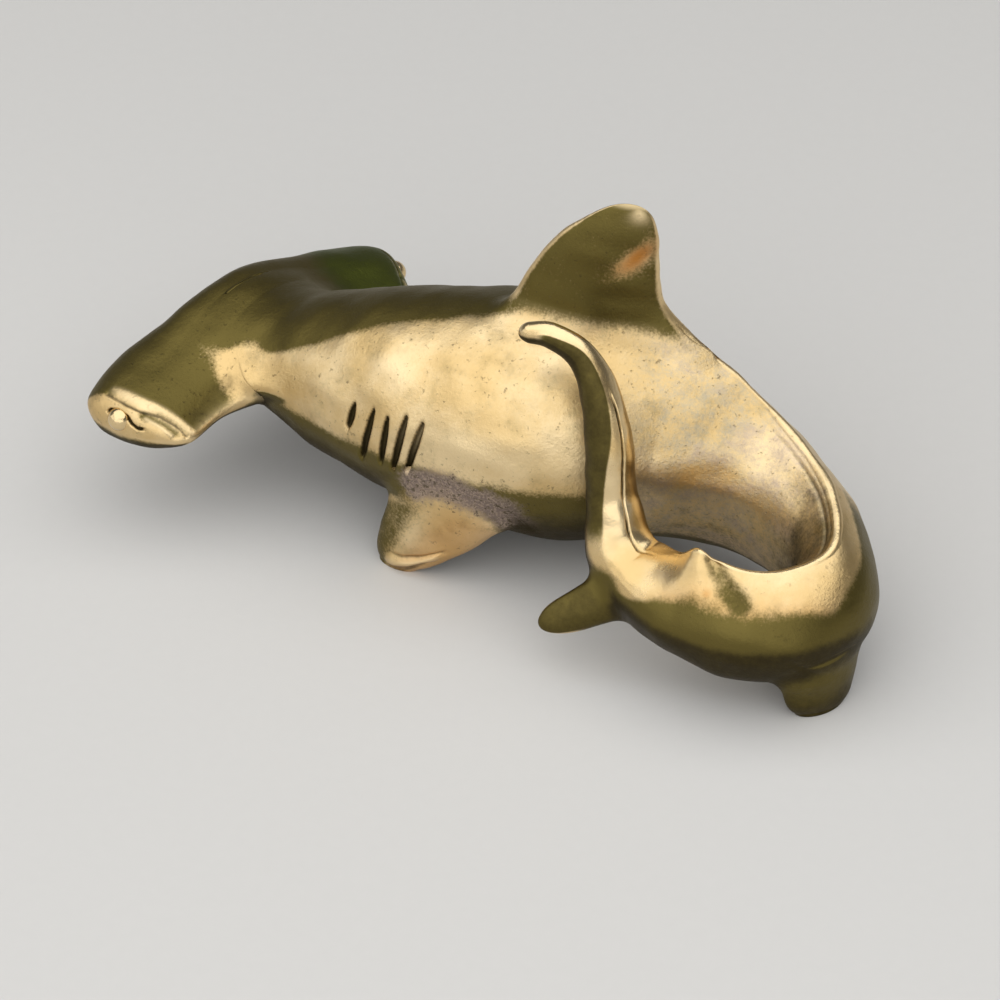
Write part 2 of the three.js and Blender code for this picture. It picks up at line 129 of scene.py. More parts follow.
HEAD_RIGHT = LEVEL_RIGHT * math.cos(HEAD_ROLL) - np.array([0.0, 0.0, math.sin(HEAD_ROLL)])
HEAD_UP = np.cross(HEAD_RIGHT, FORWARD)

# An eye bead's radius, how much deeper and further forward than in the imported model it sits, and the share
# of the half span at which deeper points to the wing's middle line
EYE_RADIUS, EYE_SINK, EYE_AHEAD, EYE_AIM = 0.98, 0.22, 0.3, 0.8

# Fins: where the root sits on the skin; the way the blade stands (along the body, out, up); its height; its
# half chord and half thickness at root and tip; how far the tip leans back, rake with the height and sweep
# with its square; and how far the rear edge runs on at the root
FINS = {
    "dorsal": dict(station=4.12, angle=90, reach=(0, 0, 1), height=11.2, chord=(6.0, 2.7), thick=(1.9, 0.75),
                   rake=0.0, sweep=3.0, trail=2.4),
    "pectoral": dict(station=3.12, angle=-33, reach=(0, 0.08, -1), height=7.5, chord=(4.3, 2.1),
                     thick=(1.3, 1.1), rake=-4.4, sweep=0.0, trail=0.0),
    "pelvic": dict(station=8.46, angle=-47, reach=(0, 0, -1), height=4.0, chord=(2.5, 1.7), thick=(1.15, 0.9),
                   rake=0.0, sweep=0.2, trail=0.0),
    "lower_lobe": dict(station=10.86, angle=-70, reach=(0.33, 0.3, -0.89), height=5.6, chord=(1.3, 0.9),
                       thick=(1.2, 0.7), rake=0.0, sweep=0.0, trail=0.0),
}
FIN_TIP_POWER = 6
TRAIL_SHARE = 0.35  # share of a fin's height over which its rear edge runs on at the root

# The shares of its height between which a fin's wall is drawn, how deep its root is closed, and how many
# stations of the body past its root it is measured against
FIN_ROOT, FIN_TOP, FIN_PLUG, FIN_MARGIN = -0.45, 0.9999, 1.2, 1.1

# A fin's fillet: its rows; the two that carry it on below the skin, how deep they lie and how much further
# out; the most of a blade's height that it takes; and how far each round of smoothing evens out its rows
FILLET_ROWS, FILLET_SKIRT = 15, ((0.15, 0.5), (0.003, 0.1))
FILLET_ROOM, FILLET_SMOOTHING = 0.8, (0.7, 0.7, 0.0)

# Gill slits of the left side, each from its top to its foot, as stations and degrees round the body, with the
# half width at their ends, how much more it is in the middle, and how far the shade round them reaches
GILL_SLITS = (
    ((2.29, 158), (2.24, 173)),
    ((2.49, 157), (2.37, 191)),
    ((2.63, 159), (2.57, 187)),
    ((2.79, 156), (2.68, 189)),
    ((2.93, 158), (2.80, 188)),
)
SLIT_WIDTH, SLIT_SWELL, SLIT_SHADE = 0.1, 0.2, 0.75

# Drawn on the head's ends as (share of the half span, degrees from the front edge): the lid over the eye,
# the crease between top and end, the almond hollow behind the eye with its ridge, and a hollow on each lobe
EYE_LID = ((0.976, 44), (0.964, 60), (0.960, 73), (0.970, 86), (0.985, 96), (0.988, 109), (0.979, 122))
END_CREASE = ((0.895, 50), (0.905, 60), (0.928, 81), (0.932, 99), (0.909, 118), (0.905, 138), (0.913, 163))
END_HOLLOW = ((0.940, 104), (0.932, 118), (0.930, 133), (0.935, 148))
END_RIDGE = ((0.947, 108), (0.947, 127), (0.952, 150))
LOBE_HOLLOW = ((0.80, 146), (0.67, 146), (0.52, 139))
RIDGE_HEIGHT = 0.08

# Drawn on the body as (station, degrees round it): the groove inside the tail's rim, the scoop before the
# second dorsal peak and the softer hollow behind it, with their depths as shares of the panel's, the seam
# over each pectoral fin, and a nick behind the dorsal fin
TAIL_GROOVE = ((13.64, 36), (13.36, 35), (13.08, 34), (12.73, 29), (12.26, 25), (11.65, 26), (11.23, 36),
               (10.87, 50), (10.5, 64))
SCOOP = ((9.66, 80), (9.52, 68), (9.40, 58), (9.25, 46))
PEAK_HOLLOW = ((10.45, 50), (10.3, 56), (10.17, 58))
SCOOP_SHARE, HOLLOW_SHARE = 1.4, 0.3
PECTORAL_SEAM = ((2.70, 203), (2.89, 194), (3.10, 190), (3.33, 193), (3.57, 198), (3.74, 209))
DORSAL_NICK = ((5.04, 99), (5.12, 102), (5.26, 100))

# Edges of films as (station, degrees): on the back, left of the crest; on the right side of the curl's end
# and on the rising hook, round the body. On the back and the curl the olive patina also paints shade
BACK_FILM_AND_SHADE = ((1.0, 62), (1.6, 42), (2.07, 27), (2.59, 15), (3.1, 8), (3.6, 6), (4.3, 9), (4.8, 12), (5.3, 0))
TAIL_FILM_AND_SHADE = ((6.6, 60), (7.4, 48), (7.8, 43), (8.13, 38), (8.35, 28), (8.68, 37), (9.11, 40), (9.78, 45),
             (10.18, 32), (10.58, -5), (11.04, -32), (11.6, -40))
HOOK_FILM = ((11.9, -25), (12.6, -14), (13.1, 8), (13.6, 22), (14.3, 33), (15.0, 26), (15.6, 20))

NECK_PATCH = (-0.385, math.radians(140))  # the bare patch beside the neck: share of the half span and angle
AMBER_SPOT = (9.62, math.radians(50))  # the orange spot before the peak: station and angle

# The crease that follows the crest on the inner wall of the curl: its distance from the crest and its width
CREASE_AWAY, CREASE_WIDTH = 1.1, 0.17

# The rolled lip on each pectoral fin's outer face as degrees round the fin and height over the table
PECTORAL_LIP = ((57, 2.3), (72, 1.42), (96, 0.85))

# Folds over each pelvic fin as stations and degrees below the flank, with their width and depth; the flank's
# radius there, and the stations over which a fold fades at each end
PELVIC_FOLDS = (
    (((8.22, 42), (8.36, 39), (8.58, 28), (8.71, 16), (8.83, 2)), 0.30, 1.0),
    (((8.24, 52), (8.38, 49), (8.58, 39), (8.70, 29), (8.80, 18)), 0.12, 0.8),
)
FLANK_RADIUS, FOLD_FADE = 4.6, 0.1

# Numbers that a casting's vertices carry, about 0 to 1, and that its metal reads: see brass
MARKS = ("polish", "film", "haze", "soot", "rub", "green", "glow", "oxide")


# Plain maths

def unit(vectors):
    """Vectors scaled to length 1."""
    return vectors / np.linalg.norm(vectors, axis=-1, keepdims=True)


def dot(a, b):
    """Scalar products of the last axes."""
    return (a * b).sum(-1)


def apart(a, b):
    """Distances between points."""
    return np.linalg.norm(a - b, axis=-1)


def wrapped(angle):
    """Angles brought between minus and plus half a turn by whole turns."""
    return (angle + math.pi) % ROUND - math.pi


def turns(columns):
    """Angles round a full turn."""
    return np.arange(columns) * ROUND / columns


def ease(low, high, value):
    """0 below low, 1 above high, and 3x^2 - 2x^3 between them. Works with low above high too."""
    x = np.clip((value - low) / (high - low), 0, 1)
    return x * x * (3 - 2 * x)


def stretch(value, start, full, fade, end):
    """1 from full to fade, and 0 before start and after end, eased between them."""
    return ease(start, full, value) * ease(end, fade, value)


def bell(value, width):
    """exp(-(value / width)^2)."""
    return np.exp(-((value / width) ** 2))


def flat_bell(value, width):
    """exp(-(value / width)^4)."""
    return np.exp(-((value / width) ** 4))


def read_off(pairs, place):
    """The second number of the pairs where the first is place, on straight lines between the pairs."""
    first, second = np.array(pairs, float).T
    return np.interp(place, first, second)


def waver(points, size, seed, waves=14):
    """A smooth wandering number, about -1 to 1: the sum of sine waves about one size long."""
    random = np.random.default_rng(seed)
    ways = unit(random.normal(size=(waves, 3))) * random.uniform(0.6, 1.5, (waves, 1)) * (ROUND / size)
    phases = random.uniform(0, ROUND, waves)
    return np.sin(points @ ways.T + phases).sum(-1) / 4


def spline(rows, station):
    """Rows of numbers read at any station: a Catmull-Rom curve through them, carried on straight at both
    ends."""
    station = np.clip(station, 0, len(rows) - 1)
    index = np.minimum(station.astype(int), len(rows) - 2)
    share = (station - index)[..., None]
    carried = np.vstack([2 * rows[0] - rows[1], rows, 2 * rows[-1] - rows[-2]])
    before, low, high, after = (carried[index + k] for k in range(4))
    start, end = (high - before) / 2, (after - low) / 2
    return (low + start * share + (3 * (high - low) - 2 * start - end) * share**2
            + (2 * (low - high) + start + end) * share**3)


# Forms of the shark

def body_frame(station):
    """Centre, direction along, right and back of the body at a station, and its section's reach and crest."""
    step = 1e-3
    values = spline(STATIONS, station)
    along = unit(spline(STATIONS[:, :3], station + step) - spline(STATIONS[:, :3], station - step))
    right = unit(np.cross(values[..., 8:], along))
    return values[..., :3], along, right, np.cross(along, right), values[..., 3:8]


def body_point(station, angle):
    """The body's skin. Across: cosine to the power of the crest times the reach, but never less than a round
    rim along the crest. Up: sine times the rise, with the second dorsal peak as a bell along the back. Angle
    0 is the shark's right and a quarter turn its back."""
    station, angle = np.broadcast_arrays(np.asarray(station, float), np.asarray(angle, float))
    centre, _, right, up, size = body_frame(station)
    left_reach, right_reach, top, bottom, crest = np.moveaxis(size, -1, 0)
    cos, sin = np.cos(angle), np.sin(angle)
    tip = np.clip((station - TAIL_TIP + TIP_ROUNDING) / TIP_ROUNDING, 0, 1)
    close = np.sqrt(1 - tip**2)
    run = np.where(station < PEAK_STATION, PEAK_BEFORE, PEAK_BEHIND)
    peak = PEAK_HEIGHT * bell(station - PEAK_STATION, run) * np.maximum(0, sin) ** 4
    reach = np.where(cos > 0, right_reach, left_reach) * close
    rise = np.where(sin > 0, top, bottom) * close + peak
    flank = np.abs(cos) ** np.where(sin > 0, crest, 1) * reach
    radius = RIM_RADIUS * np.clip((crest - 1) / RIM_CREST, 0, 1) * close
    below = rise * (1 - sin)
    rim = np.sqrt(np.clip(below * (2 * radius - below), 0, None))
    across = np.sign(cos) * np.maximum(flank, rim)
    return centre + right * across[..., None] + up * (sin * rise)[..., None]


def pitch(station):
    """Length of body from half a station before a station to half a station after it."""
    ends = spline(STATIONS[:, :3], np.array([station - 0.5, station + 0.5]))
    return apart(*ends)


def body_places(low, high):
    """A function that gives, for points near the body between two stations, the station of the section that
    faces them, their angle round it and their distance from the skin, along the ray from the centre line.
    Four Newton steps from the nearest sample find the station."""
    samples = np.linspace(low, min(high, TAIL_TIP - 0.01), SAMPLES)
    centres = spline(STATIONS[:, :3], samples)
    speeds = np.linalg.norm(np.gradient(centres, samples, axis=0), axis=-1)

    def places(points):
        station = samples[((centres**2).sum(-1) - 2 * points @ centres.T).argmin(-1)]
        for _ in range(4):
            centre, along = body_frame(station)[:2]
            step = dot(points - centre, along) / np.interp(station, samples, speeds)
            station = np.clip(station + step, samples[0], samples[-1])
        centre, along, right, up, size = body_frame(station)
        left_reach, right_reach, top, bottom, crest = np.moveaxis(size, -1, 0)
        across, rise, ahead = (dot(points - centre, way) for way in (right, up, along))
        power = 1 / np.where(rise > 0, crest, 1)
        cos = (np.abs(across) / np.where(across > 0, right_reach, left_reach)) ** power
        sin = rise / np.where(rise > 0, top, bottom)
        share = np.maximum(np.sqrt(cos**2 + sin**2 + (ahead / left_reach) ** 2), 1e-3)
        ray = np.sqrt(across**2 + rise**2 + ahead**2)
        return station, np.arctan2(sin, np.sign(across) * cos) % ROUND, ray - ray / share

    return places


def body_level(low, high):
    """A function that gives the distance of points from the body's skin between two stations."""
    places = body_places(low, high)
    return lambda points: places(points)[2]


def wing_frame(side):
    """Middle line, front direction and up direction of the wing at a share of its half span."""
    side = np.asarray(side, float)[..., None]
    middle = (HEAD_CENTRE + HEAD_RIGHT * side * HALF_SPAN - FORWARD * SWEEP * side**2
              - HEAD_UP * DROOP * side**2)
    tangent = unit(HEAD_RIGHT * HALF_SPAN - 2 * side * (FORWARD * SWEEP + HEAD_UP * DROOP))
    front = unit(np.cross(HEAD_UP, tangent))
    return middle, front, np.cross(tangent, front)


def wing_sizes(side, ahead):
    """Half chord and half thickness of the wing, in front of its middle line (ahead) or behind it."""
    lean = np.abs(side)
    close = np.sqrt(np.clip(1 - lean**TIP_POWER, 0, 1))
    fairing = bell(side, FAIRING_SPREAD)
    half = (CHORD + (TIP_CHORD - CHORD) * lean) * close
    chord = half + np.where(ahead, -NOTCH * bell(side, NOTCH_SPREAD), FAIRING_REACH * fairing)
    return chord, (THICK + (TIP_THICK - THICK) * lean) * close + FAIRING_CROWN * fairing


def wing_point(side, angle):
    """The wing's skin: an egg-shaped section, thicker in front, on a middle line that sweeps back and droops
    with the square of the span. Angle 0 is the front edge and a quarter turn the top."""
    side, angle = np.broadcast_arrays(np.asarray(side, float), np.asarray(angle, float))
    middle, front, up = wing_frame(side)
    cos, sin = np.cos(angle), np.sin(angle)
    chord, thick = wing_sizes(side, cos > 0)
    return middle + front * (cos * chord)[..., None] + up * (sin * thick * (1 + TAPER * cos))[..., None]


def wing_level(points):
    """Distance of points from the wing's skin, along the ray from its middle line, in the section that faces
    them, which three Newton steps find."""
    side = dot(points - HEAD_CENTRE, HEAD_RIGHT) / HALF_SPAN
    for _ in range(3):
        middle, _, _ = wing_frame(side)
        run = HEAD_RIGHT * HALF_SPAN - 2 * side[..., None] * (FORWARD * SWEEP + HEAD_UP * DROOP)
        side = np.clip(side + dot(points - middle, run) / dot(run, run), -WING_END, WING_END)
    middle, front, up = wing_frame(side)
    ahead, rise = dot(points - middle, front), dot(points - middle, up)
    chord, thick = wing_sizes(side, ahead > 0)
    cos = np.clip(ahead / chord, -1, 1)
    share = np.maximum(np.sqrt((ahead / chord) ** 2 + (rise / (thick * (1 + TAPER * cos))) ** 2), 1e-3)
    ray = np.sqrt(ahead**2 + rise**2)
    return ray - ray / share


def slope_of(level, points):
    """The gradient of a level function, from points 0.04 mm to both sides."""
    step = 0.04
    return np.stack([(level(points + step * axis) - level(points - step * axis)) / (2 * step)
                     for axis in np.eye(3)], -1)


def gap_to(level, points):
    """Distance of points from the skin where level is 0, and the skin's outward normal, by three Newton
    steps."""
    foot = points
    for _ in range(3):
        slope = slope_of(level, foot)
        foot = foot - slope * (level(foot) / dot(slope, slope))[..., None]
    normal = unit(slope)
    return dot(points - foot, normal), normal


def melt_radius(points):
    """How far the wing and the neck melt into each other: widely on top and tightly below."""
    return NECK_CREVICE + (NECK_MELT - NECK_CREVICE) * ease(-0.8, 1.6, dot(points - HEAD_CENTRE, HEAD_UP))


def sink(past):
    """How deep a skin sinks below its neighbour's past the place where they meet: with the square of that."""
    return LAP_SINK * past**2


def melded(rings, ways, own, other):
    """A sheet melted into another skin, along the given ways. It stands at the distance a from its own skin
    where the other skin is b away and the roots of a and b add up to the root of the melt radius. Where b is
    smaller than a it sinks below the other sheet, which stands in the same place. Also gives a less b."""
    split = np.full(rings.shape[:2], -FAR)
    near = other(rings) < NECK_MELT
    moved, ways = rings[near], ways[near]
    for _ in range(MELT_STEPS):
        radius = melt_radius(moved)
        beyond = other(moved)
        stand = (np.sqrt(radius) - np.sqrt(np.clip(beyond, radius * MELT_FLOOR, radius))) ** 2
        moved = moved + ways * (0.5 * (stand - own(moved)))[:, None]
    split[near] = stand - beyond
    sunk = np.clip(radius * MELT_FLOOR - beyond, 0, MELT_DEEPEST) + sink(np.clip(stand - beyond, 0, MELT_LAP))
    melted = rings.copy()
    melted[near] = moved - ways * sunk[:, None]
    return melted, split


def fin_wall(fin, side):
    """A fin's blade as a function of its height share and the angle round it: chord and thickness run
    straight from root to tip, close as the root of 1 - share^6, and lean with rake and sweep."""
    angle = math.radians(fin["angle"] if side > 0 else 180 - fin["angle"])
    _, along, right, up, _ = body_frame(np.array(fin["station"]))
    outward = unit(along * fin["reach"][0] + right * fin["reach"][1] * side + up * fin["reach"][2])
    across = unit(np.cross(along, outward))
    length = pitch(fin["station"])

    def wall(share, turn):
        share, turn = np.broadcast_arrays(np.asarray(share, float), np.asarray(turn, float))
        above = np.clip(share, 0, 1)
        close = np.sqrt(1 - above**FIN_TIP_POWER)
        cos = np.cos(turn)
        trail = fin["trail"] * np.maximum(cos, 0) * np.clip(1 - above / TRAIL_SHARE, 0, 1) ** 2
        chord = (fin["chord"][0] + (fin["chord"][1] - fin["chord"][0]) * above) * close + trail
        thick = (fin["thick"][0] + (fin["thick"][1] - fin["thick"][0]) * above) * close
        back = fin["rake"] * above + fin["sweep"] * above**2 + cos * chord
        return (body_point(fin["station"] + back / length, angle)
                + outward * (share * fin["height"])[..., None] + across * (np.sin(turn) * thick)[..., None])

    return wall


# Surfaces

def ring_normals(rings):
    """Outward normals of a grid of rings: the cross product of the steps between columns and between rows."""
    down = np.gradient(rings, axis=0)
    across = np.roll(rings, -1, 1) - np.roll(rings, 1, 1)
    normals = np.cross(across, down)
    normals /= np.maximum(np.linalg.norm(normals, axis=-1, keepdims=True), 1e-12)
    outward = rings - rings.mean(1, keepdims=True)
    return normals * np.sign(np.median(dot(normals, outward)))


def rooted(wall, level, reach, angles, shares):
    """Rings of a fin that grows out of a skin with a fillet. At height b above the skin the wall is pushed
    out by a, where the roots of a and b add up to the root of reach: tangent to wall and skin. Above reach
    the wall is kept, in rows at the given shares of the way to its top. On a low wall reach is smaller: its
    power of minus four is the sum of those of the given reach and of the room that the wall has."""
    samples = np.linspace(FIN_ROOT, FIN_TOP, SAMPLES)[:, None]
    heights, _ = gap_to(level, wall(samples, angles[None]))
    room = FILLET_ROOM * heights[-1]
    reach = 1 / (1 / reach**4 + 1 / room**4) ** 0.25
    steps = np.linspace(0, 1, FILLET_ROWS)[:, None]
    above, out = reach * steps**2, reach * (1 - steps) ** 2
    deeper, wider = np.array(FILLET_SKIRT).T[..., None]
    above, out = np.vstack([above[:1] - deeper, above]), np.vstack([out[:1] + wider, out])
    over = heights[None] > above[:, None]
    after = np.clip(over.argmax(1), 1, len(samples) - 1)
    columns = np.arange(len(angles))[None]
    h0, h1 = heights[after - 1, columns], heights[after, columns]
    step = samples[1, 0] - samples[0, 0]
    value = samples[after - 1, 0] + step * np.clip((above - h0) / (h1 - h0), 0, 1)
    foot = wall(value, angles[None])
    e = 1e-3
    rise, around = wall(value + e, angles[None]) - foot, wall(value, angles[None] + e) - foot
    normal = unit(np.cross(rise, around))
    normal *= np.sign(np.median(dot(normal, foot - foot.mean(1, keepdims=True))))
    _, base = gap_to(level, foot)
    points = foot + unit(normal - base * dot(normal, base)[..., None]) * out[..., None]
    fillet_row = np.clip(np.arange(len(points)) - len(FILLET_SKIRT), 0, None)
    even = (1 - steps[fillet_row])[..., None]
    for share in FILLET_SMOOTHING:
        around = (np.roll(points, 1, 1) + np.roll(points, -1, 1)) / 2
        points = points + (around - points) * share * even
        distance, base = gap_to(level, points)
        points = points + base * (above - distance)[..., None]
    top = value[-1]
    walls = wall(top + (FIN_TOP - top) * shares[1:, None], angles[None])
    return np.concatenate([points, walls])


def closed(rings, marks, deeper=0.0):
    """A sheet for make_casting, closed in the middle of its two end rings, deeper at the first if wanted."""
    return rings, rings[0].mean(0) - deeper, rings[-1].mean(0), marks


def make_casting(name, node, sheets, metal):
    """One object from closed sheets. A sheet is its rings, a closing point at each end and its marks, which
    are numbers per vertex that the metal reads. Rings are drawn in millimetres and written in metres."""
    points, faces, values, start = [], [], {mark: [] for mark in MARKS}, 0
    for rings, first, last, shades in sheets:
        rows, columns = rings.shape[:2]
        grid = start + np.arange(rows * columns).reshape(rows, columns)
        turned = np.roll(grid, -1, 1)
        quads = np.stack([grid[:-1], turned[:-1], turned[1:], grid[1:]], -1).reshape(-1, 4)
        ends = start + rows * columns
        caps = np.concatenate([
            np.stack([np.full(columns, ends), turned[0], grid[0]], -1),
            np.stack([np.full(columns, ends + 1), grid[-1], turned[-1]], -1)])
        flat = np.concatenate([rings.reshape(-1, 3), first[None], last[None]])
        a, b, c, d = (flat[quads[:, k] - start] for k in range(4))
        volume = dot(a, np.cross(b, c)).sum() + dot(a, np.cross(c, d)).sum()
        if volume < 0:
            quads, caps = quads[:, ::-1], caps[:, ::-1]
        points.append(flat)
        faces += quads.tolist() + caps.tolist()
        for mark in MARKS:
            shade = np.broadcast_to(shades.get(mark, 0.0), (rows, columns))
            values[mark].append(np.concatenate([shade.reshape(-1), [shade[0].mean(), shade[-1].mean()]]))
        start = ends + 2
    mesh = bpy.data.meshes.new(name)
    mesh.from_pydata(((np.concatenate(points) + SHIFT) * MM).tolist(), [], faces)
    mesh.polygons.foreach_set("use_smooth", np.ones(len(mesh.polygons), bool))
    for mark in MARKS:
        layer = mesh.attributes.new(mark, "FLOAT", "POINT")
        layer.data.foreach_set("value", np.concatenate(values[mark]).astype(np.float32))
    mesh.materials.append(metal)
    mesh.update()
    casting = bpy.data.objects.new(name, mesh)
    bpy.context.scene.collection.objects.link(casting)
    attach(casting, "root")
    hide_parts(node)


def along_path(points, path):
    """Distance of points from a line through path, and how far along it their feet lie, from 0 to 1."""
    best, place = np.full(points.shape[:-1], np.inf), np.zeros(points.shape[:-1])
    count = len(path) - 1
    for index in range(count):
        start, run = path[index], path[index + 1] - path[index]
        share = np.clip(dot(points - start, run) / dot(run, run), 0, 1)
        distance = apart(points, start + share[..., None] * run)
        nearer = distance < best
        best = np.where(nearer, distance, best)
        place = np.where(nearer, (index + share) / count, place)
    return best, place


def body_path(pairs, side=1):
    """Points of the body's skin from stations and degrees, mirrored onto its other side where side is -1."""
    station, angle = np.array(pairs, float).T
    return body_point(station, np.radians(angle if side > 0 else 180 - angle))


def wing_path(pairs, side):
    """Points of the wing's skin from shares of the half span and degrees."""
    share, angle = np.array(pairs, float).T
    return wing_point(share * side, np.radians(angle))


def gill_slits(points):
    """Depth of the gill slits below the skin, 0 to 1, and the shade round them: a flat bell across each slit,
    which narrows towards its ends as the root of a sine."""
    depth, shade = np.zeros(points.shape[:-1]), np.zeros(points.shape[:-1])
    for top, foot in np.array(GILL_SLITS, float):
        pairs = top + (foot - top) * np.linspace(0, 1, 5)[:, None]
        for side in (-1, 1):
            distance, place = along_path(points, body_path(pairs, side))
            width = SLIT_WIDTH + SLIT_SWELL * np.sqrt(np.sin(np.clip(place, 0.02, 0.98) * math.pi))
            depth = np.maximum(depth, flat_bell(distance, width))
            shade = np.maximum(shade, bell(distance, SLIT_SHADE))
    return depth, shade


# Shading

class Signal:
    """A number that varies over a surface. Each operator adds one Math node to the metal's tree."""

    def __init__(self, tree, socket):
        self.tree, self.socket = tree, socket

    def math(self, operation, *values):
        return self.tree.add("ShaderNodeMath", {"operation": operation}, *values)

    def __add__(self, other):
        return self.math("ADD", self, other)

    def __sub__(self, other):
        return self.math("SUBTRACT", self, other)

    def __rsub__(self, other):
        return self.math("SUBTRACT", other, self)

    def __mul__(self, other):
        return self.math("MULTIPLY", self, other)

    __radd__ = __add__
    __rmul__ = __mul__


class Tree:
    """The nodes of one material."""

    def __init__(self, name):
        self.material = bpy.data.materials.new(name)
        self.material.use_nodes = True
        self.nodes, self.links = self.material.node_tree.nodes, self.material.node_tree.links
        self.shader = self.nodes["Principled BSDF"]

    def add(self, kind, settings, *values, output=0, **named):
        """A node of a kind. Settings come first, then values or links, in its sockets' order or named."""
        node = self.nodes.new(kind)
        for key, value in settings.items():
            setattr(node, key, value)
        for place, value in [*enumerate(values), *named.items()]:
            self.feed(node.inputs[place], value)
        return Signal(self, node.outputs[output])

    def feed(self, socket, value):
        """Links a signal to a socket, or writes a plain value there."""
        if isinstance(value, Signal):
            self.links.new(value.socket, socket)
        else:
            socket.default_value = value

    def mark(self, name):
        """A number stored on the vertices."""
        return self.add("ShaderNodeAttribute", {"attribute_name": name}, output="Fac")

    def blend(self, share, low, high):
        """The colour low where share is 0 and high where it is 1."""
        node = self.nodes.new("ShaderNodeMix")
        node.data_type = "RGBA"
        for socket, value in zip((node.inputs[0], node.inputs[6], node.inputs[7]), (share, low, high)):
            self.feed(socket, value)
        return Signal(self, node.outputs[2])

    def between(self, value, low, high):
        """0 below low, 1 above high, smooth between them."""
        smooth = {"interpolation_type": "SMOOTHSTEP"}
        return self.add("ShaderNodeMapRange", smooth, value, low, high, 0.0, 1.0)

    def clouds(self, scale, detail, roughness, place):
        """Fractal noise of about 0 to 1, scale features to a metre."""
        return self.add("ShaderNodeTexNoise", {}, Vector=place, Scale=scale, Detail=detail,
                        Roughness=roughness)


def brass(name, colours):
    """Aged cast brass under eight marks. polish: smooth metal with fewer pits. film: thin olive patina, and
    also painted shade on undersides, in hollows and on dark faces. haze: cloudy grey and violet oxide. soot:
    dark oxide, and also painted shade in recesses and on faces turned to the table. rub: bare bright metal,
    and also painted
    highlights on edges and lit faces. green: green tarnish. glow: a copper-red tint. oxide: pitted grey scale
    that casting and brazing left."""
    tree = Tree(name)
    place = tree.add("ShaderNodeTexCoord", {}, output="Object")
    drift = tree.clouds(150, 4, 0.5, place)
    blotch = tree.clouds(560, 6, 0.62, place)
    sand = tree.clouds(4800, 3, 0.6, place)
    specks = tree.clouds(2600, 4, 0.7, place)
    wisps = tree.clouds(620, 7, 0.75, place)
    polish, film, haze, soot, rub, green, glow, oxide = (tree.mark(mark) for mark in MARKS)
    dull = 1 - polish
    patchy, speckled = blotch - 0.5, specks - 0.5
    grain = (sand - 0.5) * (0.5 + dull)
    pits = tree.between(specks + oxide * 0.09, 0.60, 0.70)
    clouded = haze * tree.between(wisps + grain * 0.3, 0.33, 0.72)
    film_and_shade_cover = tree.between(film + patchy * 0.5 + grain * 0.5, 0.15, 0.75)
    greened = tree.between(green + patchy * 0.6, 0.25, 0.85)
    scaled = tree.between(oxide + patchy * 0.7 + speckled * 0.9, 0.2, 0.85)
    soot_and_shade_cover = tree.between(soot + patchy * 0.4 + speckled * 0.35, 0.15, 0.85)

    warmth = tree.between(drift + (wisps - 0.5) * 0.5, 0.40, 0.62)
    # The film and soot layers paint shade as well as patina and oxide; the rub layer paints highlights as
    # well as wear
    layers = (
        (tree.between(blotch + grain * 0.2, 0.47, 0.80) * dull * 0.42, colours.olive),
        (glow * 0.9, colours.glow),
        (clouded * 0.75, tree.blend(warmth, colours.haze_cool, colours.haze_warm)),
        (film_and_shade_cover, colours.olive),
        (greened * 0.8, colours.green),
        (scaled * 0.85, tree.blend(tree.between(sand + specks, 0.9, 1.1), colours.scale, colours.haze_warm)),
        (soot_and_shade_cover, colours.soot),
        (pits * tree.between(dull + oxide, 0.1, 1.2) * 0.7, colours.soot),
        (rub * 0.75, colours.pale_gold),
    )
    colour = tree.blend(tree.between(drift + grain * 0.12, 0.36, 0.66), colours.gold, colours.pale_gold)
    for share, tint in layers:
        colour = tree.blend(share, colour, tint)

    rough = (0.24 + dull * 0.17 + patchy * 0.16 + film_and_shade_cover * 0.08 + soot_and_shade_cover * 0.15 + scaled * 0.2
             + clouded * 0.05 - rub * 0.07)
    coarse = (sand * 0.8 + specks * 1.4) * (0.15 + dull * 0.85 + oxide * 1.5)
    relief = coarse + blotch * 1.2 - pits * dull * 0.8
    bump = tree.add("ShaderNodeBump", {}, Strength=0.5, Distance=0.00006, Height=relief)
    for socket, value in (("Base Color", colour), ("Roughness", rough), ("Metallic", 1.0), ("Normal", bump)):
        tree.feed(tree.shader.inputs[socket], value)
    return tree.material


def handwork(points, amount):
    """The slight unevenness of a form finished by hand, in millimetres: waves of 7 mm, and half as high ones
    of 3 mm. It takes metal away on the whole."""
    return amount * (waver(points, 7.0, 3) + 0.5 * waver(points, 3.0, 4) - 1.2)


# Panel settings

def length_setting(name, description, default):
    """A length that the panel shows."""
    return bpy.props.FloatProperty(name=name, description=description, default=default, unit="LENGTH",
                                   precision=5, min=0.0)


def colour_setting(name, description, default):
    """A colour that the panel shows."""
    return bpy.props.FloatVectorProperty(name=name, description=description, default=(*default, 1.0), size=4,
                                         subtype="COLOR", min=0.0, max=1.0)


class FigurineSizes(bpy.types.PropertyGroup):
    """Sizes of the castings' finish."""

    fin_fillet: length_setting("Fin fillet", "How far a fin's fillet runs onto the body", 0.0013)
    slit_depth: length_setting("Gill slit depth", "Depth of the gill slits", 0.0005)
    crease_depth: length_setting("Crease depth", "Depth of the fine creases and folds", 0.00013)
    groove_depth: length_setting("Tail groove depth", "Depth of the groove inside the tail's rim", 0.00024)
    hollow_depth: length_setting("Hollow depth", "Depth of the shallow scoops in the skin", 0.00035)
    lid_depth: length_setting("Lid depth", "Depth of the line that the eye's lid makes", 0.0003)
    unevenness: length_setting("Unevenness", "Height of the waves that hand finishing left", 0.00007)


